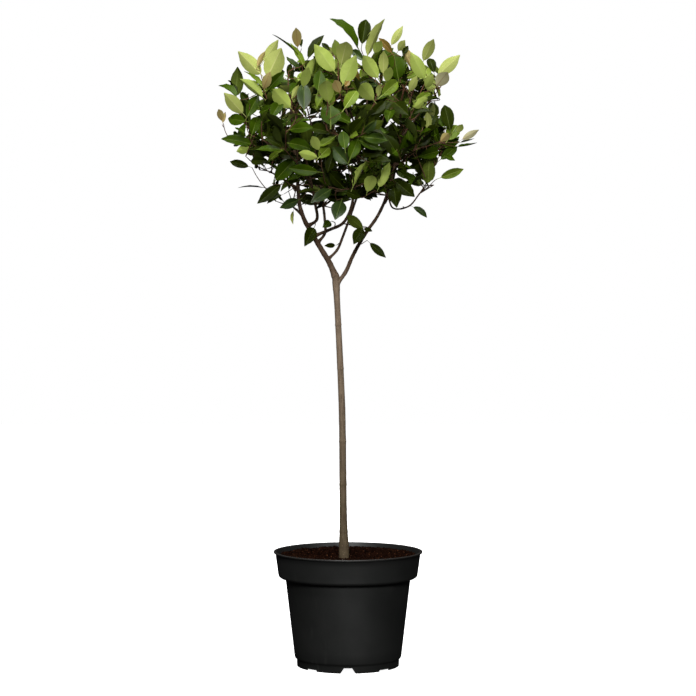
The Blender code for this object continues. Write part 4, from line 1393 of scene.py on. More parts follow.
@dataclass(frozen=True)
class LeafForm:
    """How one leaf is shaped: its widths along it, fold, bend and twist."""

    fold: float  # degrees that each half rises from flat
    arch: float  # degrees that the tip bends back
    twist: float  # degrees that the tip turns
    wave: float  # share of the width that the edge waves
    rib: float = 0.020
    skin: float = 0.006

    STALK = 0.15  # share of the length
    SLENDER = 0.42  # width as a share of the length
    # share of the blade's length, share of the greatest half-width
    STATIONS = (
        (0.0, 0.07), (0.07, 0.36), (0.17, 0.66), (0.31, 0.91), (0.46, 1.0),
        (0.61, 0.93), (0.75, 0.70), (0.87, 0.41), (0.95, 0.17), (1.0, 0.012),
    )
    AROUND = ((1, 0), (0, 1), (-1, 0), (0, -1))

    def spine(self, share: float) -> tuple[Vector, float]:
        """The midrib's place and slope at a share of the whole length.

        Args:
            share: From 0 at the root to 1 at the tip.

        Returns:
            The place in the leaf's own axes (along Y, up Z) and the slope in radians.
        """
        steps = 24
        slope, place = 0.0, Vector((0, 0, 0))
        total = math.radians(self.arch)
        for i in range(round(share * steps)):
            slope = total * (0.5 - ((i + 0.5) / steps) ** 1.4)
            place += Vector((0, math.cos(slope), math.sin(slope))) / steps
        return place, slope

    def row(self, number: int) -> list[Vector]:
        """The points across the blade at one station: five over the top, then two under the midrib.

        Args:
            number: The station's number.

        Returns:
            The points, from the left edge over the top to the right edge and back underneath.
        """
        along, wide = self.STATIONS[number]
        share = self.STALK + (1 - self.STALK) * along
        place, slope = self.spine(share)
        half, rise = 0.5 * wide, self.SLENDER * math.tan(math.radians(self.fold))
        wave = self.wave * wide * (1 if number % 2 else -1)
        lean = Matrix.Rotation(slope, 3, "X") @ Matrix.Rotation(math.radians(self.twist) * share, 3, "Y")
        narrow = min(self.rib * (1.2 - 0.8 * along), half * 0.4)
        thick = self.skin + 0.010 * (1 - along)
        section = [(-half, half * rise + wave), (-half * 0.55, half * 0.64 * rise + 0.014 * wide), (-narrow, 0.0)]
        section += [(-x, z) for x, z in reversed(section)]
        section[5] = (half, half * rise - wave)
        section += [(narrow * 1.2, -thick), (-narrow * 1.2, -thick)]
        return [place + lean @ Vector((x, 0, z)) for x, z in section]

    def mesh(self) -> Mesh:
        """The leaf, one unit long and one wide, along +Y with its upper side to +Z.

        Returns:
            A closed mesh whose faces carry their part: 0 top, 1 underside, 2 midrib and stalk.
        """
        points: list[Vector] = []
        faces: list[tuple[tuple[int, ...], int]] = []
        rows = []
        for number in range(len(self.STATIONS)):
            rows.append(list(range(len(points), len(points) + 8)))
            points += self.row(number)
        parts = (0, 0, 2, 0, 0, 1, 2, 1)
        for low, high in zip(rows, rows[1:]):
            for i, part in enumerate(parts):
                j = (i + 1) % 8
                faces.append(((low[i], low[j], high[j], high[i]), part))
        faces.append((tuple(rows[-1]), 0))
        stalk = []
        for share, thick in ((0.0, 0.011), (self.STALK * 0.55, 0.009)):
            place, _ = self.spine(share)
            stalk.append(list(range(len(points), len(points) + 4)))
            points += [place + Vector((x * thick / self.SLENDER, 0, z * thick)) for x, z in self.AROUND]
        first = rows[0]
        for i in range(4):
            j = (i + 1) % 4
            faces.append(((stalk[0][i], stalk[0][j], stalk[1][j], stalk[1][i]), 2))
        right, top, left, under = stalk[1]
        faces += [((right, top, first[3], first[4], first[5]), 2), ((top, left, first[0], first[1], first[2]), 2)]
        faces += [((top, first[2], first[3]), 2), ((left, under, first[7], first[0]), 2)]
        faces += [((under, first[6], first[7]), 2), ((under, right, first[5], first[6]), 2)]
        faces.append((tuple(reversed(stalk[0])), 2))
        mesh = mesh_of("leaf", points, [corners for corners, _ in faces])
        mesh.set_sharp_from_angle(angle=math.radians(70))
        part = mesh.attributes.new("part", "INT", "FACE")
        part.data.foreach_set("value", [number for _, number in faces])
        return mesh


class LeafKinds:
    """The leaf forms that the sprays draw on."""

    FORMS = (
        LeafForm(fold=14, arch=26, twist=4, wave=0.010),
        LeafForm(fold=20, arch=40, twist=-8, wave=0.014),
        LeafForm(fold=9, arch=18, twist=8, wave=0.008),
        LeafForm(fold=26, arch=48, twist=6, wave=0.012),
        LeafForm(fold=15, arch=-18, twist=-7, wave=0.010),
        LeafForm(fold=32, arch=30, twist=3, wave=0.006),
    )

    def __init__(self) -> None:
        """Builds one mesh of each form, off the scene."""
        self.collection = bpy.data.collections.new("leaf kinds")
        for i, form in enumerate(self.FORMS):
            self.collection.objects.link(bpy.data.objects.new(f"leaf_{i}", form.mesh()))


@dataclass
class Leaf:
    """One leaf: its root, the way it runs, the way its upper side faces, its size and its tint."""

    root: Vector
    axis: Vector
    face: Vector
    length: float
    width: float
    tint: Tint
    kind: int

    def sheet(self, trim: float) -> BVHTree:
        """The blade as a flat sheet, for tests of room.

        Args:
            trim: How much of the root end is left out.

        Returns:
            The search tree.
        """
        across = self.axis.cross(self.face).normalized()
        start = self.root + self.axis * trim
        points = [start]
        for along, wide in ((0.32, 0.36), (0.62, 0.48), (0.84, 0.30)):
            for side in (-1, 1):
                points.append(self.root + self.axis * self.length * along + across * side * wide * self.width)
        points.append(self.root + self.axis * self.length)
        return BVHTree.FromPolygons(points, [(0, 1, 2), (1, 3, 4, 2), (3, 5, 6, 4), (5, 7, 6)])

    def middle(self) -> Vector:
        """The middle of the leaf."""
        return self.root + self.axis * self.length * 0.5

    def corners(self) -> list[Vector]:
        """The places that the tests of room use.

        Returns:
            The two widest places of the blade, and its tip.
        """
        across = self.axis.cross(self.face).normalized() * self.width / 2
        wide = self.root + self.axis * self.length * 0.58
        return [wide + across, wide - across, self.root + self.axis * self.length]


@dataclass
class Twig:
    """A twig with its radius along it, and the tint of its leaves: partly their age, partly painted shade where it sits
    deep or low in the crown.
    """

    path: list[Vector]
    radii: list[float]
    tint: Tint = Tint.GREEN
    marks: list[Vector] = field(default_factory=list)

    def __post_init__(self) -> None:
        """Notes the places that distances are measured from."""
        self.marks = [point_at(self.path, share)[0] for share in (0.0, 0.25, 0.5, 0.75, 1.0)]


@dataclass
class GrowthRule:
    """How a mass grows: a leader, side twigs to the emptiest places, and leaves in a spiral on them all."""

    leaf_length: float = 0.0580
    leaf_width: float = 0.0320
    lone_width: float = 0.0240
    leaf_thickness: float = 0.0010
    leaf_fold: float = 0.0034
    lift_high: float = 0.40
    lift_low: float = -0.75
    tries: int = 8
    retry_turn: float = 0.85
    chance_facing: float = 0.7
    bare_share: float = 0.12
    twig_tip: float = 0.0010
    twig_base: float = 0.0017
    side_base: float = 0.0014
    root_depth: float = 0.0040
    petiole: float = 0.0170
    twig_step: float = 0.034
    longest_twig: float = 0.095
    node_spacing: float = 0.0110
    golden: float = math.radians(137.5)
    mass_twigs: int = 4
    mass_leaves: int = 18
    edge_room: float = 0.012
    goals: int = 40
    gap: float = 0.0003
    room: float = 0.0006


LEAF_FACES: Faces = [(0, 1, 2), (0, 2, 3), (1, 0, 4), (2, 1, 4), (3, 2, 4), (0, 3, 4)]


class MassGrowth:
    """The twigs and leaves of one mass, grown by the rule."""

    def __init__(self, name: str, rule: GrowthRule, crown: CrownShape, obstacles: BVHTree) -> None:
        """Starts with nothing grown.

        Args:
            name: The mass.
            rule: The growth rule.
            crown: The crown's spaces.
            obstacles: The limbs, and other masses' leaders, grown by their room.
        """
        self.name, self.rule, self.crown, self.obstacles = name, rule, crown, obstacles
        self.twigs: list[Twig] = []
        self.blades: list[list[Vector]] = []
        self.trees: list[BVHTree] = []

    def blade(self, root: Vector, axis: Vector, face: Vector, length: float, width: float) -> list[Vector]:
        """The rule's own simple leaf: root, edge, tip, edge and keel.

        Args:
            root: Where it starts.
            axis: The way it runs.
            face: The way its upper side faces.
            length: Its length.
            width: Its width.

        Returns:
            The five points.
        """
        across = axis.cross(face).normalized()
        face = across.cross(axis).normalized()
        middle = root + axis * length * 0.56
        aside, above = across * width / 2, face * self.rule.leaf_fold
        keel = middle - face * self.rule.leaf_thickness
        return [root, middle + aside + above, root + axis * length, middle - aside + above, keel]

    def own(self, point: Vector) -> bool:
        """Whether a point is in this mass's space."""
        return self.crown.keeps_to(self.name, point, self.rule.gap)

    @staticmethod
    def halfway(points: list[Vector]) -> Vector:
        """The middle of a leaf's length."""
        return (points[0] + points[2]) / 2

    @staticmethod
    def trimmed(points: list[Vector], by: float) -> list[Vector]:
        """A leaf without this much of its root end."""
        return [points[0] + (points[2] - points[0]).normalized() * by, *points[1:]]

    def add_blade(self, points: list[Vector], allowed: Callable[[Vector], bool]) -> bool:
        """Adds a leaf of the rule's own kind if it has room.

        Args:
            points: The leaf.
            allowed: The test that its points have to pass.

        Returns:
            True if it was added.
        """
        if not all(map(allowed, points[1:])):
            return False
        if BVHTree.FromPolygons(self.trimmed(points, self.rule.root_depth), LEAF_FACES).overlap(self.obstacles):
            return False
        tree = BVHTree.FromPolygons(self.trimmed(points, self.rule.petiole), LEAF_FACES)
        if any(tree.overlap(other) for other in self.trees):
            return False
        self.trees.append(tree)
        self.blades.append(points)
        return True

    def add_twig(self, path: list[Vector], radii: list[float], allowed: Callable[[Vector], bool]) -> bool:
        """Adds a twig if it has room.

        Args:
            path: Its axis.
            radii: Its radii.
            allowed: The test that its points have to pass.

        Returns:
            True if it was added.
        """
        if not all(map(allowed, path[1:])):
            return False
        free = [path[0] + (path[1] - path[0]).normalized() * self.rule.root_depth, *path[1:]]
        tree = search_tree([tube(free, radii, 3)])
        if tree.overlap(self.obstacles) or any(tree.overlap(other) for other in self.trees[1:]):
            return False
        self.twigs.append(Twig(path, radii))
        self.trees.append(tree)
        return True

    def lift_at(self, height: float) -> float:
        """How leaves rise towards the crown's top and hang towards its foot.

        Args:
            height: Z of the leaf's root.

        Returns:
            The upward share of the leaf's direction.
        """
        crown, rule = self.crown, self.rule
        share = (height - crown.centre.z + crown.drop) / (crown.rise + crown.drop)
        return rule.lift_low + (rule.lift_high - rule.lift_low) * share

    @staticmethod
    def leaf_face(root: Vector, axis: Vector, heading: Vector, chance: Vector) -> Vector:
        """The way a leaf's upper side faces: towards the twig if the leaf stands up, else up and out of the crown.

        Args:
            root: Where the leaf starts.
            axis: The way it runs.
            heading: The way its twig runs.
            chance: A random push.

        Returns:
            The direction.
        """
        outward = Vector((root.x, root.y, 0)).normalized()
        standing = min(max(axis.z * 1.6, 0.0), 1.0)
        hung = UP * 0.6 + outward * 0.5
        stood = heading * 0.6 + UP * 0.2 - outward * 0.2
        face = hung * (1 - standing) + stood * standing + chance
        face -= axis * face.dot(axis)
        return face.normalized() if face.length > 0.1 else axis.orthogonal().normalized()

    def leaf_places(self, path: list[Vector], rng: random.Random, spacing: float) -> list[tuple]:
        """Places for leaves in a spiral down a twig from its tip.

        Args:
            path: The twig.
            rng: The mass's chance.
            spacing: The distance between leaves.

        Returns:
            For each place its point, the heading there, the angle round, the spread, the size and a random push.
        """
        rule = self.rule
        turn = rng.uniform(0, math.tau)
        count = max(2, round(path_length(path) * (1 - rule.bare_share) / spacing))
        places = []
        for i in range(count):
            down = i / count
            point, heading = point_at(path, min(1.0 - (1.0 - rule.bare_share) * down**1.15, 0.985))
            spread = math.radians(rng.uniform(26, 44) + 34 * down)
            size = rng.uniform(0.88, 1.10) * (0.86 if i < 2 else 1.0)
            facing = rng.uniform(0, math.tau)
            chance = Vector((math.cos(facing), math.sin(facing), 0)) * rule.chance_facing
            places.append((point, heading, turn + rule.golden * i, spread, size, chance))
        return places

    def pose_at(self, place: tuple, turned: float) -> tuple[Vector, Vector, Vector]:
        """A leaf's root, axis and face at a place.

        Args:
            place: The place.
            turned: How far it is turned round the twig from there.

        Returns:
            The root, the axis and the face.
        """
        point, heading, spin, spread, _, chance = place
        across = Matrix.Rotation(spin + turned, 3, heading) @ heading.orthogonal().normalized()
        axis = heading * math.cos(spread) + across * math.sin(spread) + UP * self.lift_at(point.z)
        axis.normalize()
        return point, axis, self.leaf_face(point, axis, heading, chance)

    def blade_at(self, place: tuple, turned: float, shrunk: float) -> list[Vector]:
        """The rule's leaf at a place, turned and made smaller by so much."""
        size = place[4] * shrunk
        return self.blade(*self.pose_at(place, turned), self.rule.leaf_length * size, self.rule.leaf_width * size)

    def dress(self, places: list[tuple], most: int) -> None:
        """Puts leaves at the places furthest from the leaves so far.

        Args:
            places: The places.
            most: How many leaves the mass may have.
        """
        middles = [self.halfway(points) for points in self.blades]
        ahead = [self.halfway(self.blade_at(place, 0.0, 1.0)) for place in places]
        left = list(range(len(places)))
        while left and len(self.blades) < most:
            best = max(left, key=lambda n: min(((ahead[n] - other).length for other in middles), default=0.0))
            left.remove(best)
            for attempt in range(self.rule.tries):
                points = self.blade_at(places[best], attempt * self.rule.retry_turn, 0.975**attempt)
                if self.add_blade(points, self.own):
                    middles.append(self.halfway(points))
                    break

    def emptiest(self, rng: random.Random, room: float) -> Vector | None:
        """Of some random places in the mass's space, the one furthest from its twigs.

        Args:
            rng: The mass's chance.
            room: How far inside the space it has to be.

        Returns:
            The place, or None.
        """
        best, best_room = None, 0.0
        for _ in range(self.rule.goals):
            offset = Vector([rng.uniform(-1, 1) for _ in range(3)]) * self.crown.reach
            goal = self.crown.middles[self.name] + offset
            if not self.crown.keeps_to(self.name, goal, room):
                continue
            distance = min((goal - mark).length for twig in self.twigs for mark in twig.marks)
            if distance > best_room:
                best, best_room = goal, distance
        return best

    def side_twig(self, goal: Vector, shortest: float) -> list[Vector] | None:
        """A twig to a place from the twig that is near and already heads that way.

        Args:
            goal: The place.
            shortest: The least length of the twig.

        Returns:
            Its path, or None.
        """
        best, best_cost = None, math.inf
        for twig in self.twigs:
            for share in (0.08, 0.25, 0.42, 0.6, 0.78):
                base, heading = point_at(twig.path, share)
                way = goal - base
                cost = way.length * (1.7 - heading.dot(way.normalized()))
                if shortest < way.length < self.rule.longest_twig and cost < best_cost:
                    best, best_cost = (base, heading), cost
        if best is None:
            return None
        base, heading = best
        way = goal - base
        pieces = max(2, round(way.length / self.rule.twig_step))
        return bent(base, (heading * 0.5 + way.normalized()).normalized(), goal, pieces)

    def grow(self, leader: list[Vector], tip: Vector) -> None:
        """Grows the mass as its solid has grown.

        Args:
            leader: The mass's own stem.
            tip: The tip of its furthest leaf.
        """
        rule = self.rule
        rng = random.Random("photinia " + self.name)
        radii = tapered(rule.twig_base, rule.twig_tip, len(leader) - 1)
        self.twigs.append(Twig(leader, radii))
        self.trees.append(search_tree([tube(leader, radii, 3)]))
        outward = (tip - leader[-1]).normalized()
        root = leader[-1] - outward * rule.twig_tip
        face = self.leaf_face(root, outward, UP, TO_FRONT)
        furthest = self.blade(root, outward, face, rule.leaf_length, rule.lone_width)
        self.add_blade(furthest, lambda point: self.crown.in_cell(self.name, point, rule.gap))
        for _ in range(4 * rule.mass_twigs):
            goal = self.emptiest(rng, rule.edge_room)
            path = self.side_twig(goal, 0.022) if goal else None
            if path:
                self.add_twig(path, tapered(rule.side_base, rule.twig_tip, len(path) - 1), self.own)
            if len(self.twigs) > rule.mass_twigs:
                break
        places = [place for twig in self.twigs for place in self.leaf_places(twig.path, rng, rule.node_spacing)]
        self.dress(places, rule.mass_leaves)


class Canopy:
    """All the leaves so far, for keeping each new one clear of its neighbours."""

    CELL = 0.035
    NEAR = 0.06
    TRIM = 0.012  # how much of a leaf's root end may touch others

    def __init__(self, limbs: BVHTree) -> None:
        """Starts empty.

        Args:
            limbs: The limbs.
        """
        self.limbs = limbs
        self.leaves: list[Leaf] = []
        self.sheets: list[BVHTree] = []
        self.cells: dict[tuple[int, int, int], list[int]] = {}

    def near(self, middle: Vector) -> list[int]:
        """The leaves whose middles are within about two cells of a point.

        Args:
            middle: The point.

        Returns:
            Their numbers.
        """
        x, y, z = (int(part // self.CELL) for part in middle)
        around = range(-2, 3)
        keys = ((x + i, y + j, z + k) for i in around for j in around for k in around)
        return [number for key in keys for number in self.cells.get(key, ())]

    def add(self, leaf: Leaf, check: bool = True) -> bool:
        """Adds a leaf if it has room.

        Args:
            leaf: The leaf.
            check: Whether to test its room at all.

        Returns:
            True if it was added.
        """
        sheet, middle = leaf.sheet(self.TRIM), leaf.middle()
        if check and sheet.overlap(self.limbs):
            return False
        for number in self.near(middle) if check else ():
            if (self.leaves[number].middle() - middle).length < self.NEAR and sheet.overlap(self.sheets[number]):
                return False
        self.cells.setdefault(tuple(int(part // self.CELL) for part in middle), []).append(len(self.leaves))
        self.leaves.append(leaf)
        self.sheets.append(sheet)
        return True


class FrontView:
    """The plant as it is looked at from its front, level with the middle of the stem and 4 m away."""

    DISTANCE = 4.0
    HEIGHT = 0.70
    SAME_TIP = 0.025  # a leaf whose tip appears this near to a kept one's stands for it
    BEHIND = 0.010  # a place this far behind a kept leaf's middle can't hide it
    LEAST_WIDTH = 0.004
    # the edge of the close foliage, from the left corner over the top, in millimetres
    EDGE = (
        (-188, 993), (-170, 1015), (-153, 1028), (-135, 1036), (-116, 1043), (-101, 1028), (-83, 1050),
        (-66, 1057), (-49, 1068), (-31, 1074), (-14, 1080), (3, 1071), (16, 1054), (30, 1050), (42, 1062),
        (56, 1074), (73, 1074), (90, 1071), (108, 1062), (125, 1057), (142, 1040), (155, 1019), (146, 991),
        (134, 976), (144, 963), (160, 953), (181, 958), (191, 941), (196, 915), (188, 897), (174, 882),
        (160, 870), (142, 852), (137, 835), (115, 849), (109, 818), (90, 807), (64, 818), (47, 811), (24, 800),
        (-5, 788), (-31, 783), (-62, 795), (-83, 804), (-109, 809), (-122, 826), (-132, 849), (-149, 870),
        (-167, 882), (-188, 896), (-205, 908), (-196, 930), (-203, 953), (-193, 970),
    )

    def __init__(self) -> None:
        """Starts with no leaf that has to stay in sight."""
        self.shown: list[tuple[tuple[float, float], tuple[float, float], float, float]] = []

    def seen(self, point: Vector) -> tuple[float, float]:
        """Where a point appears, measured in the plane through the stem."""
        near = 1 + point.y / self.DISTANCE
        return point.x / near, self.HEIGHT + (point.z - self.HEIGHT) / near

    def placed(self, x: float, z: float, y: float) -> Vector:
        """The point at a depth that appears at a place in the plane through the stem."""
        near = 1 + y / self.DISTANCE
        return Vector((x * near, y, self.HEIGHT + (z - self.HEIGHT) * near))

    def in_edge(self, point: Vector) -> bool:
        """Whether a point appears inside the edge of the close foliage.

        Args:
            point: The point.

        Returns:
            True if it does.
        """
        x, z = (1000 * part for part in self.seen(point))
        inside = False
        for (ax, az), (bx, bz) in zip(self.EDGE, (*self.EDGE[1:], self.EDGE[0])):
            if (az > z) != (bz > z) and x < ax + (bx - ax) * (z - az) / (bz - az):
                inside = not inside
        return inside

    def keep(self, leaf: Leaf) -> None:
        """Notes a leaf that nothing may stand in front of.

        Args:
            leaf: The leaf.
        """
        root, tip = self.seen(leaf.root), self.seen(leaf.root + leaf.axis * leaf.length)
        across = leaf.axis.cross(leaf.face).normalized()
        wide = abs(across.x * (tip[1] - root[1]) - across.z * (tip[0] - root[0])) / max(math.dist(root, tip), 1e-6)
        self.shown.append((root, tip, max(wide * leaf.width, self.LEAST_WIDTH) / 2, leaf.middle().y))

    def matched(self, tip: Vector) -> bool:
        """Whether a leaf that has to stay in sight already ends about where this tip appears."""
        return any(math.dist(self.seen(tip), other) < self.SAME_TIP for _, other, _, _ in self.shown)

    def hides(self, leaf: Leaf) -> bool:
        """Whether a leaf would stand in front of one that has to stay in sight.

        Args:
            leaf: The leaf.

        Returns:
            True if it would.
        """
        spots = [leaf.middle(), *leaf.corners(), leaf.root + leaf.axis * leaf.length * 0.25]
        spots += [(spots[0] + spots[3]) / 2, (spots[0] + spots[1]) / 2, (spots[0] + spots[2]) / 2]
        for (rx, rz), (tx, tz), half, depth in self.shown:
            run = max(math.hypot(tx - rx, tz - rz), 1e-6)
            ux, uz = (tx - rx) / run, (tz - rz) / run
            for spot in spots:
                if spot.y > depth + self.BEHIND:
                    continue
                x, z = self.seen(spot)
                along, aside = (x - rx) * ux + (z - rz) * uz, (x - rx) * uz - (z - rz) * ux
                if 0 < along < run and abs(aside) < half * min(1.0, 0.5 + 2.2 * min(along, run - along) / run):
                    return True
        return False


class FrontShoots:
    """The shoots that stand out on the front of the crown, each with its stem and leaves in their own places.

    Positions are millimetres across and up, as they appear in the plane through the stem. A shoot's depth is a share
    of the way from that plane to the crown's front or, below nothing, its Y in metres. A leaf is its tint and the side
    that it shows (U underside, T top, E edge), the foot of its blade, its tip and its width.
    """

    TINTS = dict(zip("PFGDBMS", (Tint.PALE, Tint.FRESH, Tint.GREEN, Tint.DEEP, Tint.BRONZE, Tint.MAUVE, Tint.SHEEN)))
    BLADE = 0.050
    STAGGER = 0.0015  # how far one leaf of a shoot stands behind the next
    SNAP = 2.5  # a blade whose foot is this near the shoot's tip, in millimetres, ends the shoot
    STEM_RADII, STALK_RADII = (0.0013, 0.0007), (0.0008, 0.0006)
    STEM_REACH, STALK_REACH, OWN_REACH, TOUCHING = 0.12, 0.09, 0.03, 0.0012
    SHOOTS = {
        "left_corner": (((-132, 953), (-144, 998), (-155, 1047)), 0.35, (
            ("PU", -151, 1028, -191, 1068, 26), ("PU", -139, 1024, -115, 1074, 35),
            ("PU", -146, 1050, -120, 1088, 17), ("BU", -156, 1041, -142, 1068, 10),
            ("BU", -146, 1002, -134, 1033, 16), ("FE", -148, 1003, -181, 1031, 10),
            ("FU", -149, 988, -188, 1019, 16), ("GT", -139, 1000, -109, 1033, 17),
        )),
        "left_shoulder": (((-181, 946), (-188, 970), (-194, 989)), 0.0, (
            ("GU", -194, 991, -191, 1043, 23), ("DE", -196, 991, -210, 1015, 7),
        )),
        "left_side": (((-172, 925), (-177, 946), (-182, 962)), 0.2, (
            ("PU", -182, 960, -215, 996, 24), ("GE", -194, 986, -226, 1005, 7), ("DT", -172, 979, -186, 995, 12),
            ("GT", -175, 953, -155, 991, 21), ("GT", -177, 946, -207, 951, 21),
        )),
        "left_bud": (((-201, 911), (-212, 927), (-217, 946)), 0.0, (
            ("BU", -217, 946, -224, 967, 12), ("BU", -217, 944, -212, 963, 7),
        )),
        "top_left_bud": (((-76, 1022), (-80, 1047), (-85, 1074)), 0.1, (
            ("BU", -87, 1073, -90, 1107, 17), ("GE", -85, 1059, -132, 1095, 8), ("DE", -80, 1074, -78, 1088, 5),
            ("GE", -83, 1036, -106, 1059, 7), ("FE", -76, 1040, -101, 1081, 14), ("DT", -104, 1024, -99, 1045, 10),
        )),
        "left_front": (((-90, 953), (-97, 967), (-97, 984)), 0.75, (
            ("FU", -99, 969, -130, 1002, 26), ("PU", -97, 988, -85, 1009, 10), ("ST", -76, 967, -76, 1014, 24),
            ("BT", -82, 970, -64, 986, 12), ("FU", -78, 1005, -69, 1040, 17),
        )),
        "top_middle": (((-14, 984), (-17, 1019), (-17, 1050)), 0.55, (
            ("FU", -24, 1033, -59, 1080, 28), ("FU", -17, 1055, -23, 1087, 16), ("PU", -12, 1043, -3, 1083, 28),
            ("FU", -9, 1010, 14, 1061, 28), ("DE", -68, 1054, -40, 1094, 14), ("DT", -31, 1068, -45, 1081, 9),
        )),
        "top_right": (((42, 1012), (26, 1047), (14, 1071)), 0.1, (
            ("GE", 14, 1071, -36, 1121, 10), ("ST", 28, 1050, 7, 1069, 14),
        )),
        "top_round": (((38, 1022), (30, 1050), (26, 1078)), 0.0, (
            ("DT", 24, 1078, 31, 1121, 23), ("PU", 35, 1059, 66, 1123, 19),
        )),
        "top_right_rosette": (((45, 977), (52, 1002), (61, 1033)), 0.5, (
            ("FU", 52, 1021, 26, 1061, 24), ("PU", 61, 1028, 62, 1068, 17), ("FU", 45, 1064, 57, 1085, 16),
            ("BT", 75, 1064, 52, 1090, 12), ("FU", 45, 982, 23, 1010, 26), ("PU", 52, 988, 54, 1009, 10),
            ("FT", 57, 989, 85, 1014, 21), ("FU", 66, 1014, 73, 1040, 16),
        )),
        "top_lower_left": (((-38, 953), (-35, 974), (-38, 988)), 0.85, (
            ("FU", -33, 977, -40, 1015, 26), ("BU", -14, 995, -23, 1017, 16), ("BT", -5, 1007, 3, 1017, 9),
            ("FT", -7, 967, 14, 998, 21), ("GT", -30, 939, -30, 974, 35), ("GT", -52, 998, -47, 1033, 21),
        )),
        "high_right": (((90, 1012), (87, 1043), (76, 1078)), 0.1, (
            ("PU", 75, 1078, 95, 1111, 14), ("PU", 87, 1068, 99, 1087, 14), ("GT", 87, 1019, 78, 1068, 30),
            ("BU", 109, 1038, 89, 1078, 14),
        )),
        "right_corner": (((115, 970), (128, 1002), (142, 1029)), 0.2, (
            ("FU", 132, 1019, 108, 1066, 23), ("PU", 130, 1050, 148, 1088, 19), ("DT", 149, 1029, 141, 1054, 16),
            ("PU", 156, 1026, 194, 1061, 23), ("MU", 153, 1007, 172, 1031, 23), ("DT", 94, 1061, 104, 1076, 9),
            ("FT", 116, 982, 142, 995, 14), ("FU", 113, 969, 137, 986, 17), ("FU", 134, 1005, 148, 1029, 16),
            ("PU", 106, 998, 120, 1026, 14),
        )),
        "right_gap": (((111, 949), (122, 956), (132, 970)), 0.3, (
            ("DE", 132, 974, 161, 981, 5), ("DT", 115, 958, 151, 960, 9), ("PU", 141, 930, 137, 962, 14),
            ("DE", 148, 936, 160, 955, 7),
        )),
        "right_rosette": (((139, 904), (160, 911), (174, 925)), 0.25, (
            ("DT", 177, 930, 167, 974, 23), ("GT", 168, 937, 160, 958, 16), ("FU", 189, 927, 198, 941, 12),
            ("MU", 198, 915, 227, 932, 12), ("DE", 196, 911, 219, 918, 5), ("GE", 191, 904, 224, 911, 7),
            ("FT", 172, 913, 188, 939, 24), ("GT", 161, 908, 194, 911, 17), ("BU", 160, 911, 174, 925, 14),
        )),
        "right_low": (((142, 852), (153, 877), (163, 894)), 0.2, (
            ("GT", 155, 894, 118, 884, 19), ("GU", 141, 884, 139, 840, 24), ("GT", 160, 880, 189, 903, 16),
            ("GE", 168, 887, 186, 878, 9),
        )),
        "right_twig": (((135, 828), (148, 842), (160, 863)), 0.1, (
            ("FT", 161, 849, 201, 864, 16),
        )),
        "right_droop": (((69, 849), (80, 842), (87, 835)), 0.5, (
            ("DT", 83, 842, 115, 816, 23), ("DT", 80, 828, 85, 793, 24),
        )),
        "left_blade": (((-149, 897), (-160, 903), (-170, 908)), 0.2, (
            ("GT", -168, 906, -222, 915, 19), ("FU", -170, 901, -194, 894, 16), ("GT", -167, 922, -156, 953, 19),
        )),
        "low_left_twig": (((-139, 826), (-156, 847), (-172, 868)), 0.1, (
            ("DT", -172, 868, -205, 877, 14), ("DE", -149, 831, -191, 830, 5),
        )),
        "low_left": (((-104, 835), (-111, 838), (-116, 840)), 0.35, (
            ("DT", -116, 838, -158, 804, 19), ("DT", -115, 818, -141, 802, 10), ("ST", -85, 811, -118, 797, 17),
            ("PU", -94, 791, -94, 767, 7), ("GT", -125, 845, -89, 884, 26), ("DT", -137, 878, -167, 878, 16),
            ("DT", -89, 885, -122, 890, 14),
        )),
        "low_front_left": (((-42, 852), (-47, 873), (-52, 885)), 0.85, (
            ("FU", -52, 884, -85, 892, 16), ("FT", -52, 882, -33, 901, 19), ("FU", -50, 896, -62, 920, 16),
            ("GT", -52, 859, -104, 866, 19),
        )),
        "front_middle": (((7, 852), (3, 866), (0, 880)), 0.95, (
            ("ST", 0, 873, -28, 904, 24), ("GT", 3, 880, 17, 915, 21), ("GT", -5, 897, -9, 929, 19),
        )),
        "front_low_right": (((24, 814), (42, 824), (59, 835)), 0.8, (
            ("FU", 10, 833, 35, 878, 12), ("FU", 33, 823, 42, 852, 21), ("FU", 54, 833, 73, 877, 17),
        )),
        "low_middle": (((-24, 828), (-21, 814), (-17, 800)), 0.75, (
            ("ST", -31, 828, -66, 805, 19), ("ST", -12, 807, -23, 774, 26), ("DT", -2, 824, 24, 814, 16),
        )),
        "spray_left": (((-55, 768), (-59, 764), (-60, 760)), -0.024, (("DT", -60, 760, -77, 727, 21),)),
        "spray_fork": (((-14, 739), (-18, 735), (-23, 732)), 0.0, (("DT", -23, 732, -42, 731, 9),)),
        "spray_olive": (((-24, 778), (-28, 775), (-31, 772)), -0.020, (("GT", -31, 772, -45, 762, 14),)),
        "spray_middle": (((42, 757), (35, 762), (27, 759)), -0.040, (
            ("GU", 27, 760, -2, 783, 18), ("DT", 24, 760, 9, 732, 21), ("DT", 28, 762, 42, 756, 8),
        )),
        "spray_right": (((22, 732), (28, 738), (38, 736)), -0.014, (("DT", 38, 736, 66, 710, 14),)),
        "spray_low_right": (((104, 797), (108, 798), (113, 797)), -0.022, (("ST", 113, 797, 137, 778, 10),)),
    }

    def __init__(self, crown: CrownShape, view: FrontView) -> None:
        """Notes the crown's outline and the view from the front."""
        self.crown, self.view = crown, view

    def depth(self, x: float, z: float, share: float) -> float:
        """How far in front of the stem's plane a place lies.

        Args:
            x: The place across.
            z: Its height.
            share: The share of the way to the crown's front.

        Returns:
            Its Y.
        """
        if share < 0:
            return share
        crown = self.crown
        away = z - crown.centre.z
        tall, power = crown.half(away)
        across = crown.radius * max(0.0, 1 - (abs(away) / tall) ** power) ** (1 / power)
        return -share * math.sqrt(max(0.0, across**2 - x**2))

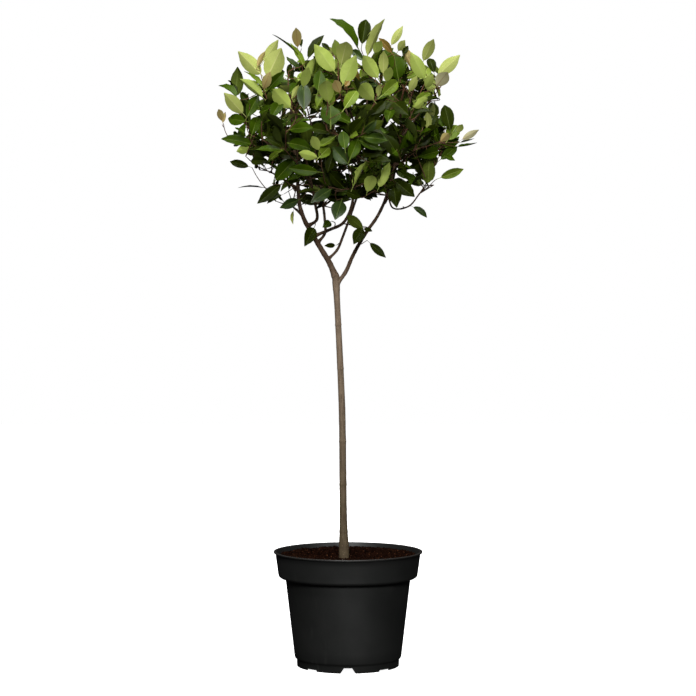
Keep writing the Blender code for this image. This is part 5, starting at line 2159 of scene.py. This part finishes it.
    def leaf(self, row: tuple, share: float, nudge: float) -> Leaf:
        """Sets up one leaf.

        Args:
            row: Its row of the table.
            share: The shoot's share of the depth.
            nudge: How far forward of its neighbours it stands.

        Returns:
            The leaf.
        """
        code, *millimetres = row
        bx, bz, tx, tz, wide = (part / 1000 for part in millimetres)
        y = self.depth(bx, bz, share) - nudge
        flat = math.hypot(tx - bx, tz - bz)
        expected = self.BLADE if code[1] == "E" else min(self.BLADE, wide * 2.5)
        lean = min(math.sqrt(max(0.0, expected**2 - flat**2)), 0.8 * flat)
        hanging = tz < bz
        foot = self.view.placed(bx, bz, y)
        tip = self.view.placed(tx, tz, y - lean if code[1] == "U" or hanging else y + lean)
        axis = (tip - foot).normalized()
        blade = (tip - foot).length
        length = blade / (1 - LeafForm.STALK)
        face = TO_FRONT * (-1 if code[1] == "U" else 1)
        face = (face - axis * face.dot(axis)).normalized()
        width = max(wide, 0.36 * blade)
        roll = math.acos(min(1.0, wide / width))
        turned = [Matrix.Rotation(side * roll, 3, axis) @ face for side in (-1, 1)]
        face = max(turned, key=lambda way: way.z)
        kind = int(1000 * (bx + tz)) % len(LeafKinds.FORMS)
        return Leaf(foot - axis * (length - blade), axis, face, length, width, self.TINTS[code[0]], kind)

    def stem(self, points: tuple, share: float) -> list[Vector]:
        """The path of a shoot's own stem."""
        return [self.view.placed(x / 1000, z / 1000, self.depth(x / 1000, z / 1000, share)) for x, z in points]

    @staticmethod
    def joined(goal: Vector, joints: Sequence[tuple], longest: float, arrival: Vector) -> list[Vector] | None:
        """A path to a place from the joint that is near and already heads that way.

        Args:
            goal: The place.
            joints: Places on the wood, each with its heading.
            longest: The greatest length of the path.
            arrival: The way it arrives.

        Returns:
            The path, or None.
        """
        best, best_cost = None, math.inf
        for base, heading in joints:
            way = goal - base
            distance = way.length
            cost = distance * (1.7 - heading.dot(way / distance)) if 1e-6 < distance < longest else math.inf
            if cost < best_cost:
                best, best_cost = (base, heading, way), cost
        if best is None:
            return None
        base, heading, way = best
        return bent(base, heading * 0.5 + way.normalized(), goal, max(3, round(way.length / 0.012)), arrival)

    @staticmethod
    def joints(path: list[Vector]) -> list[tuple[Vector, Vector]]:
        """Places about every 8 mm along a path, each with its heading."""
        count = max(3, round(path_length(path) / 0.008))
        return [point_at(path, i / count) for i in range(count + 1)]

    def grow(self, limbs: Iterable[Limb], twigs: list[Twig], canopy: Canopy) -> None:
        """Adds the shoots to the twigs and the leaves so far.

        Args:
            limbs: The limbs.
            twigs: The twigs so far. The shoots' own are added.
            canopy: The leaves so far. The shoots' own are added.
        """
        wood = [joint for grown in (*limbs, *twigs) for joint in self.joints(grown.path)]
        for points, share, rows in self.SHOOTS.values():
            stem = self.stem(points, share)
            leaves = [self.leaf(row, share, self.STAGGER * (number % 5)) for number, row in enumerate(rows)]
            ends = [leaf.root for leaf, row in zip(leaves, rows) if math.dist(row[1:3], points[-1]) < self.SNAP]
            if ends:
                stem[-1] = ends[0]
            joint = self.joined(stem[0], wood, self.STEM_REACH, stem[1] - stem[0])
            path = [*joint[:-1], *stem] if joint else stem
            twigs.append(Twig(path, tapered(*self.STEM_RADII, len(path) - 1)))
            own = self.joints(path)
            for leaf in leaves:
                canopy.add(leaf, check=False)
                self.view.keep(leaf)
                near = min((leaf.root - point).length for point, _ in own)
                if near <= self.TOUCHING:
                    continue
                stalk = self.joined(leaf.root, own if near < self.OWN_REACH else wood, self.STALK_REACH, leaf.axis)
                if stalk:
                    twigs.append(Twig(stalk, tapered(*self.STALK_RADII, len(stalk) - 1)))
            wood += own


@dataclass
class Foliage:
    """Every mass and spray, carried on to finer twigs and full leaves, with the tints dealt out by twig."""

    # tint: its share at the foot of the crown, and how much that gains at the outside of the top; the deep tints low
    # down and inside are partly painted shade
    ODDS = {
        Tint.DEEP: (0.48, -0.36),
        Tint.GREEN: (0.44, -0.16),
        Tint.FRESH: (0.04, 0.28),
        Tint.PALE: (0.0, 0.22),
        Tint.SHEEN: (0.04, 0.02),
    }

    plan: LimbPlan
    limbs: dict[str, Limb]
    rule: GrowthRule = field(default_factory=GrowthRule)
    view: FrontView = field(default_factory=FrontView)
    fine_twigs: int = 6
    fine_spacing: float = 0.0095
    fine_shortest: float = 0.018
    leaf_length: float = 0.0540
    leaf_width: float = 0.0215
    cross_border: float = 0.014

    def leader(self, mass: str) -> list[Vector]:
        """A mass's own stem, from its bough's tip to the foot of its furthest leaf.

        Args:
            mass: The mass.

        Returns:
            The path.
        """
        bough = self.limbs[self.plan.carrier(mass)].path
        heading = (bough[-1] - bough[-2]).normalized()
        start = bough[-1] + heading * self.rule.gap
        tip = Vector(self.plan.MASSES[mass][0])
        outward = (tip - start).normalized()
        end = tip - outward * self.rule.leaf_length * 0.93
        return bent(start, heading, end, max(2, round((end - start).length / self.rule.twig_step)))

    @classmethod
    def tint_for(cls, place: Vector, rng: random.Random, young: bool) -> Tint:
        """Deals a tint: pale and fresh on the outside of the top, deep inside and towards the foot. The deep tints
        there are partly the older leaves' own colour and partly painted shade of the crown's inside and foot.

        Args:
            place: Where the twig or leaf is.
            rng: The dealer's chance.
            young: Whether it is the youngest leaf of a shoot.

        Returns:
            The tint.
        """
        # painted shade, in part: places inside the crown and low down draw deeper tints
        away = place - CrownShape.centre
        outside = min(max((Vector((away.x, away.y, away.z * 1.3)).length - 0.10) / 0.08, 0.0), 1.0)
        share = min(max((place.z - 0.91) / 0.13, 0.0), 1.0) * outside
        if young and rng.random() < 0.16 * share:
            return Tint.BRONZE
        draw = rng.random()
        for tint, (low, more) in cls.ODDS.items():
            weight = low + more * share
            if draw < weight:
                return tint
            draw -= weight
        return Tint.GREEN

    def grow_masses(self) -> dict[str, MassGrowth]:
        """Grows every mass as the solids have grown.

        Returns:
            The growths by mass.
        """
        crown = CrownShape(self.plan.middles())
        leaders = {mass: self.leader(mass) for mass in self.plan.MASSES}
        solid = [limb.grown(self.rule.room) for limb in self.limbs.values()]
        grown = {}
        for mass, (tip, _) in self.plan.MASSES.items():
            others = []
            for other, path in leaders.items():
                if other != mass:
                    radii = tapered(self.rule.twig_base, self.rule.twig_tip, len(path) - 1)
                    others.append(Limb(path, radii, 3).grown(self.rule.room))
            growth = MassGrowth(mass, self.rule, crown, search_tree([*solid, *others]))
            growth.grow(leaders[mass], Vector(tip))
            grown[mass] = growth
        return grown

    def from_blade(self, points: list[Vector], tint: Tint, rng: random.Random) -> Leaf:
        """The full leaf that takes the place of one of the rule's simple leaves.

        Args:
            points: The simple leaf.
            tint: Its tint.
            rng: The dealer's chance.

        Returns:
            The leaf.
        """
        root, edge, tip, other, keel = points
        axis = (tip - root).normalized()
        face = ((edge + other) / 2 - keel).normalized()
        length = (tip - root).length
        width = self.leaf_width / self.leaf_length * length * rng.uniform(0.92, 1.08)
        return Leaf(root, axis, face, length, width, tint, rng.randrange(len(LeafKinds.FORMS)))

    @staticmethod
    def kept_at(place: Vector) -> float:
        """The share of leaf places that are used: all of them high up, half at the open foot of the crown."""
        return min(max(0.45 + 0.55 * (place.z - 0.80) / 0.15, 0.45) + max(place.y, 0.0) * 2.0, 1.0)

    def fits(self, leaf: Leaf, canopy: Canopy) -> bool:
        """Adds a leaf if it keeps to the crown's edge, hides no leaf that stands out, and has room.

        Args:
            leaf: The leaf.
            canopy: All the leaves so far.

        Returns:
            True if it was added.
        """
        if not all(map(self.view.in_edge, leaf.corners())) or self.view.hides(leaf):
            return False
        return canopy.add(leaf)

    def fill(self, growth: MassGrowth, canopy: Canopy) -> None:
        """Carries a mass on to finer twigs, and puts a leaf at every place where one has room.

        Args:
            growth: The mass.
            canopy: All the leaves so far.
        """
        rule, crown = self.rule, growth.crown
        rng = random.Random("fine " + growth.name)

        def allowed(point: Vector) -> bool:
            """Whether a fine twig or leaf may reach a point.

            Args:
                point: The point.

            Returns:
                True inside the crown and near the mass's own cell.
            """
            if (point - crown.middles[growth.name]).length > crown.reach or not crown.contains(point, 0.0):
                return False
            return not crown.in_sky(point, 0.0) and crown.in_cell(growth.name, point, -self.cross_border)

        fine = self.fine_twigs + (3 if crown.middles[growth.name].y > 0.05 else 0)
        for _ in range(3 * fine):
            goal = growth.emptiest(rng, 0.006)
            path = growth.side_twig(goal, self.fine_shortest) if goal else None
            if path:
                growth.add_twig(path, tapered(rule.twig_base * 0.7, rule.twig_tip, len(path) - 1), allowed)
            if len(growth.twigs) > rule.mass_twigs + fine:
                break
        for twig in growth.twigs:
            twig.tint = self.tint_for(twig.path[-1], rng, False)
            places = growth.leaf_places(twig.path, rng, self.fine_spacing)
            for number, place in enumerate(places):
                tint = self.tint_for(place[0], rng, True) if number < 2 and rng.random() < 0.5 else twig.tint
                if rng.random() > self.kept_at(place[0]):
                    continue
                for attempt in range(5):
                    root, axis, face = growth.pose_at(place, attempt * rule.retry_turn)
                    size = place[4] * 0.97**attempt * (0.8 if number < 2 else 1.0)
                    width = self.leaf_width * size * rng.uniform(0.9, 1.08)
                    kind = rng.randrange(len(LeafKinds.FORMS))
                    leaf = Leaf(root, axis, face, self.leaf_length * size, width, tint, kind)
                    if all(map(allowed, leaf.corners())) and self.fits(leaf, canopy):
                        break

    @staticmethod
    def without_bare_ends(twigs: Sequence[Twig], leaves: Sequence[Leaf]) -> list[Twig]:
        """Cuts each twig at its last leaf or side twig, and drops the ones that carry nothing.

        Args:
            twigs: The twigs.
            leaves: The leaves.

        Returns:
            The twigs that stay.
        """
        carried = [leaf.root for leaf in leaves] + [twig.path[0] for twig in twigs]
        tree = KDTree(len(carried))
        for number, point in enumerate(carried):
            tree.insert(point, number)
        tree.balance()
        kept, steps, touching = [], 24, 0.0018
        for twig in twigs:
            step = path_length(twig.path) / steps
            beyond = [i for i in range(1, steps + 1) if i * step > 0.003]
            used = [i for i in beyond if tree.find(point_at(twig.path, i / steps)[0])[2] < touching]
            if not used:
                continue
            share = used[-1] / steps
            pieces = max(2, round(share * steps * step / 0.015))
            path = [point_at(twig.path, share * i / pieces)[0] for i in range(pieces + 1)]
            kept.append(Twig(path, tapered(twig.radii[0], min(twig.radii[-1], 0.0007), pieces)))
        return kept

    def scatter_mesh(self, leaves: Sequence[Leaf]) -> Mesh:
        """A point for each leaf, which carries its turn, size and kind.

        Args:
            leaves: The leaves.

        Returns:
            The mesh of points.
        """
        mesh = bpy.data.meshes.new("leaf points")
        mesh.from_pydata([tuple(leaf.root) for leaf in leaves], [], [])
        turns, sizes, kinds = [], [], []
        for leaf in leaves:
            across = leaf.axis.cross(leaf.face).normalized()
            face = across.cross(leaf.axis).normalized()
            turns += Matrix((across, leaf.axis, face)).transposed().to_euler()
            sizes += (leaf.width, leaf.length, leaf.length)
            kinds.append(leaf.kind)
        mesh.attributes.new("turn", "FLOAT_VECTOR", "POINT").data.foreach_set("vector", turns)
        mesh.attributes.new("size", "FLOAT_VECTOR", "POINT").data.foreach_set("vector", sizes)
        mesh.attributes.new("kind", "INT", "POINT").data.foreach_set("value", kinds)
        return mesh

    def build_leaves(self, leaves: Sequence[Leaf], nodes: Sequence[str]) -> None:
        """Makes one joined piece of each tint.

        Args:
            leaves: All the leaves.
            nodes: The masses and sprays that they stand for.
        """
        recipe, kinds = leaf_recipe(), LeafKinds()
        for tint, (colours, shine) in TINTS.items():
            top, top_drift, under, under_drift, rib = (srgb(*colour) for colour in colours)
            chosen = [leaf for leaf in leaves if leaf.tint is tint]
            inputs = {
                "Leaves": kinds.collection,
                "Size": 1.0,
                "Top": LeafSkin(f"leaf_top_{tint.value}", top, top_drift, 0.42, shine).material(),
                "Underside": LeafSkin(f"leaf_under_{tint.value}", under, under_drift, 0.62).material(),
                "Rib": LeafSkin(f"leaf_rib_{tint.value}", rib, rib, 0.5).material(),
            }
            piece = recipe.run(f"foliage_{tint.value}", self.scatter_mesh(chosen), inputs)
            deliver(piece, nodes)
            LOG.info("%d %s leaves", len(chosen), tint.value)

    def build_twigs(self, twigs: Sequence[Twig], nodes: Sequence[str]) -> None:
        """Makes the joined twigs.

        Args:
            twigs: All the twigs.
            nodes: The masses and sprays that they stand for.
        """
        points, edges, radii = [], [], []
        for twig in twigs:
            fine = through(twig.path, 6 * (len(twig.path) - 1))
            first = len(points)
            for i, point in enumerate(fine):
                share = i / (len(fine) - 1)
                points.append(point)
                radii.append((twig.radii[0] + (twig.radii[-1] - twig.radii[0]) * share) * (0.92 if i % 2 else 0.80))
            edges += [(k, k + 1) for k in range(first, len(points) - 1)]
        bark = Bark("bark_twigs", srgb(62, 44, 28), ((srgb(88, 54, 35), 0.78, 1.02),), srgb(42, 27, 18))
        inputs = {"Sides": 7, "Step": 0.003, "Relief": 0.0003, "Relief Scale": 500.0, "Material": bark.material()}
        deliver(sweep_recipe().run("twigs", chain_mesh(points, edges, radii), inputs), nodes)

    def build(self) -> None:
        """Grows and dresses the whole crown."""
        canopy = Canopy(search_tree([limb.grown(self.rule.room) for limb in self.limbs.values()]))
        growths = self.grow_masses()
        twigs: list[Twig] = []
        for growth in growths.values():
            twigs += growth.twigs
        FrontShoots(CrownShape(self.plan.middles()), self.view).grow(self.limbs.values(), twigs, canopy)
        LOG.info("%d leaves on the front shoots", len(canopy.leaves))
        for name, growth in growths.items():
            rng = random.Random("tints " + name)
            for number, points in enumerate(growth.blades):
                leaf = self.from_blade(points, self.tint_for(points[0], rng, number == 0), rng)
                if number == 0:
                    if not self.view.matched(points[2]):
                        canopy.add(leaf, check=False)
                elif rng.random() < self.kept_at(points[0]):
                    self.fits(leaf, canopy)
        for growth in growths.values():
            grown = len(growth.twigs)
            self.fill(growth, canopy)
            twigs += growth.twigs[grown:]
        for _ in range(3):
            twigs = self.without_bare_ends(twigs, canopy.leaves)
        nodes = ["leaves_" + mass for mass in self.plan.MASSES]
        nodes += ["spray_left", "spray_right", "spray_middle", "spray_low_right"]
        LOG.info("%d leaves on %d twigs", len(canopy.leaves), len(twigs))
        self.build_twigs(twigs, nodes)
        self.build_leaves(canopy.leaves, nodes)


# ---------------------------------------------------------------- studio


@dataclass
class Studio:
    """A plain pale floor, soft lights and the camera."""

    floor_half: float = 6.0
    floor_glow: float = 0.98
    # name, place, what it points at, side of its square, and power in watts
    lamps: tuple = (
        ("key", (0.2, -3.2, 1.8), (0.0, 0.0, 0.65), 0.9, 106.0),
        ("high_left", (-0.6, -1.4, 3.1), (0.0, 0.0, 0.95), 0.9, 58.0),
        ("top", (0.2, -0.2, 3.1), (0.0, 0.0, 0.95), 1.2, 50.0),
        ("back", (0.0, 3.2, 1.8), (0.0, 0.0, 0.65), 1.2, 80.0),
        ("back_left", (-2.7, 1.9, 2.2), (0.0, 0.0, 0.80), 1.0, 22.0),
        ("back_right", (2.7, 1.9, 2.2), (0.0, 0.0, 0.80), 1.0, 22.0),
    )
    focal_pixels: float = 2304.0
    frame_pixels: float = 696.0
    camera_place: Vector = field(default_factory=lambda: Vector((0.0, -4.0, 0.70)))
    camera_target: Vector = field(default_factory=lambda: Vector((0.0, 0.0, 0.5536)))

    def floor(self) -> None:
        """Lays the floor."""
        half = self.floor_half
        corners = [Vector((x * half, y * half, 0.0)) for x, y in ((-1, -1), (1, -1), (1, 1), (-1, 1))]
        paint = Paint("studio_floor")
        paint.plain(Roughness=0.9, Specular_IOR_Level=0.1)
        paint.shader.inputs["Base Color"].default_value = (0.86, 0.86, 0.86, 1.0)
        paint.shader.inputs["Emission Color"].default_value = (1.0, 1.0, 1.0, 1.0)
        paint.plain(Emission_Strength=self.floor_glow)
        mesh = mesh_of("studio_floor", corners, [(0, 1, 2, 3)], smooth=False)
        floor = place_object("studio_floor", mesh, paint.material)
        floor.visible_diffuse = floor.visible_glossy = False

    def lamp(self, name: str, place: Sequence[float], target: Sequence[float], size: float, power: float) -> None:
        """Hangs one soft area light. The ones behind light the plant without showing in its gloss.

        Args:
            name: Its name.
            place: Where it hangs.
            target: What it points at.
            size: The side of its square.
            power: Its power in watts.
        """
        data = bpy.data.lights.new(name, "AREA")
        data.shape, data.size, data.energy = "SQUARE", size, power
        obj = place_object(name, data)
        obj.location = place
        obj.rotation_euler = (Vector(target) - Vector(place)).to_track_quat("-Z", "Y").to_euler()
        obj.visible_glossy = not name.startswith("back")

    def sky(self) -> None:
        """Gives the room its even white, brighter to the eye than it lights."""
        world = bpy.data.worlds.new("studio")
        bpy.context.scene.world = world
        world.use_nodes = True
        wires = Wiring(world.node_tree)
        back = world.node_tree.nodes["Background"]
        back.inputs["Color"].default_value = (1.0, 1.0, 1.0, 1.0)
        rays = wires.add("ShaderNodeLightPath").outputs
        lit = wires.fitted(rays["Is Glossy Ray"], 0.0, 1.0, 0.055, 0.010)
        world.node_tree.links.new(wires.fitted(rays["Is Camera Ray"], 0.0, 1.0, lit, 1.0), back.inputs["Strength"])

    def camera(self) -> None:
        """Sets up the camera."""
        data = bpy.data.cameras.new("camera")
        data.sensor_width = 36.0
        data.lens = self.focal_pixels / self.frame_pixels * data.sensor_width
        obj = place_object("camera", data)
        obj.location = self.camera_place
        obj.rotation_euler = (self.camera_target - self.camera_place).to_track_quat("-Z", "Y").to_euler()
        bpy.context.scene.camera = obj

    def build(self) -> None:
        """Sets up everything round the plant."""
        self.floor()
        self.sky()
        for lamp in self.lamps:
            self.lamp(*lamp)
        self.camera()
        bpy.context.scene.view_settings.view_transform = "Standard"


def main() -> None:
    """Builds the plant and the studio, piece by piece."""
    logging.basicConfig(level=logging.INFO, format="%(message)s", stream=sys.stdout)
    NurseryPot().build(PotPlastic())
    Compost().build(Peat())
    plan = LimbPlan()
    limbs = plan.plan()
    LimbSkins(limbs).build()
    Foliage(plan, limbs).build()
    Studio().build()


if __name__ == "__main__":
    main()
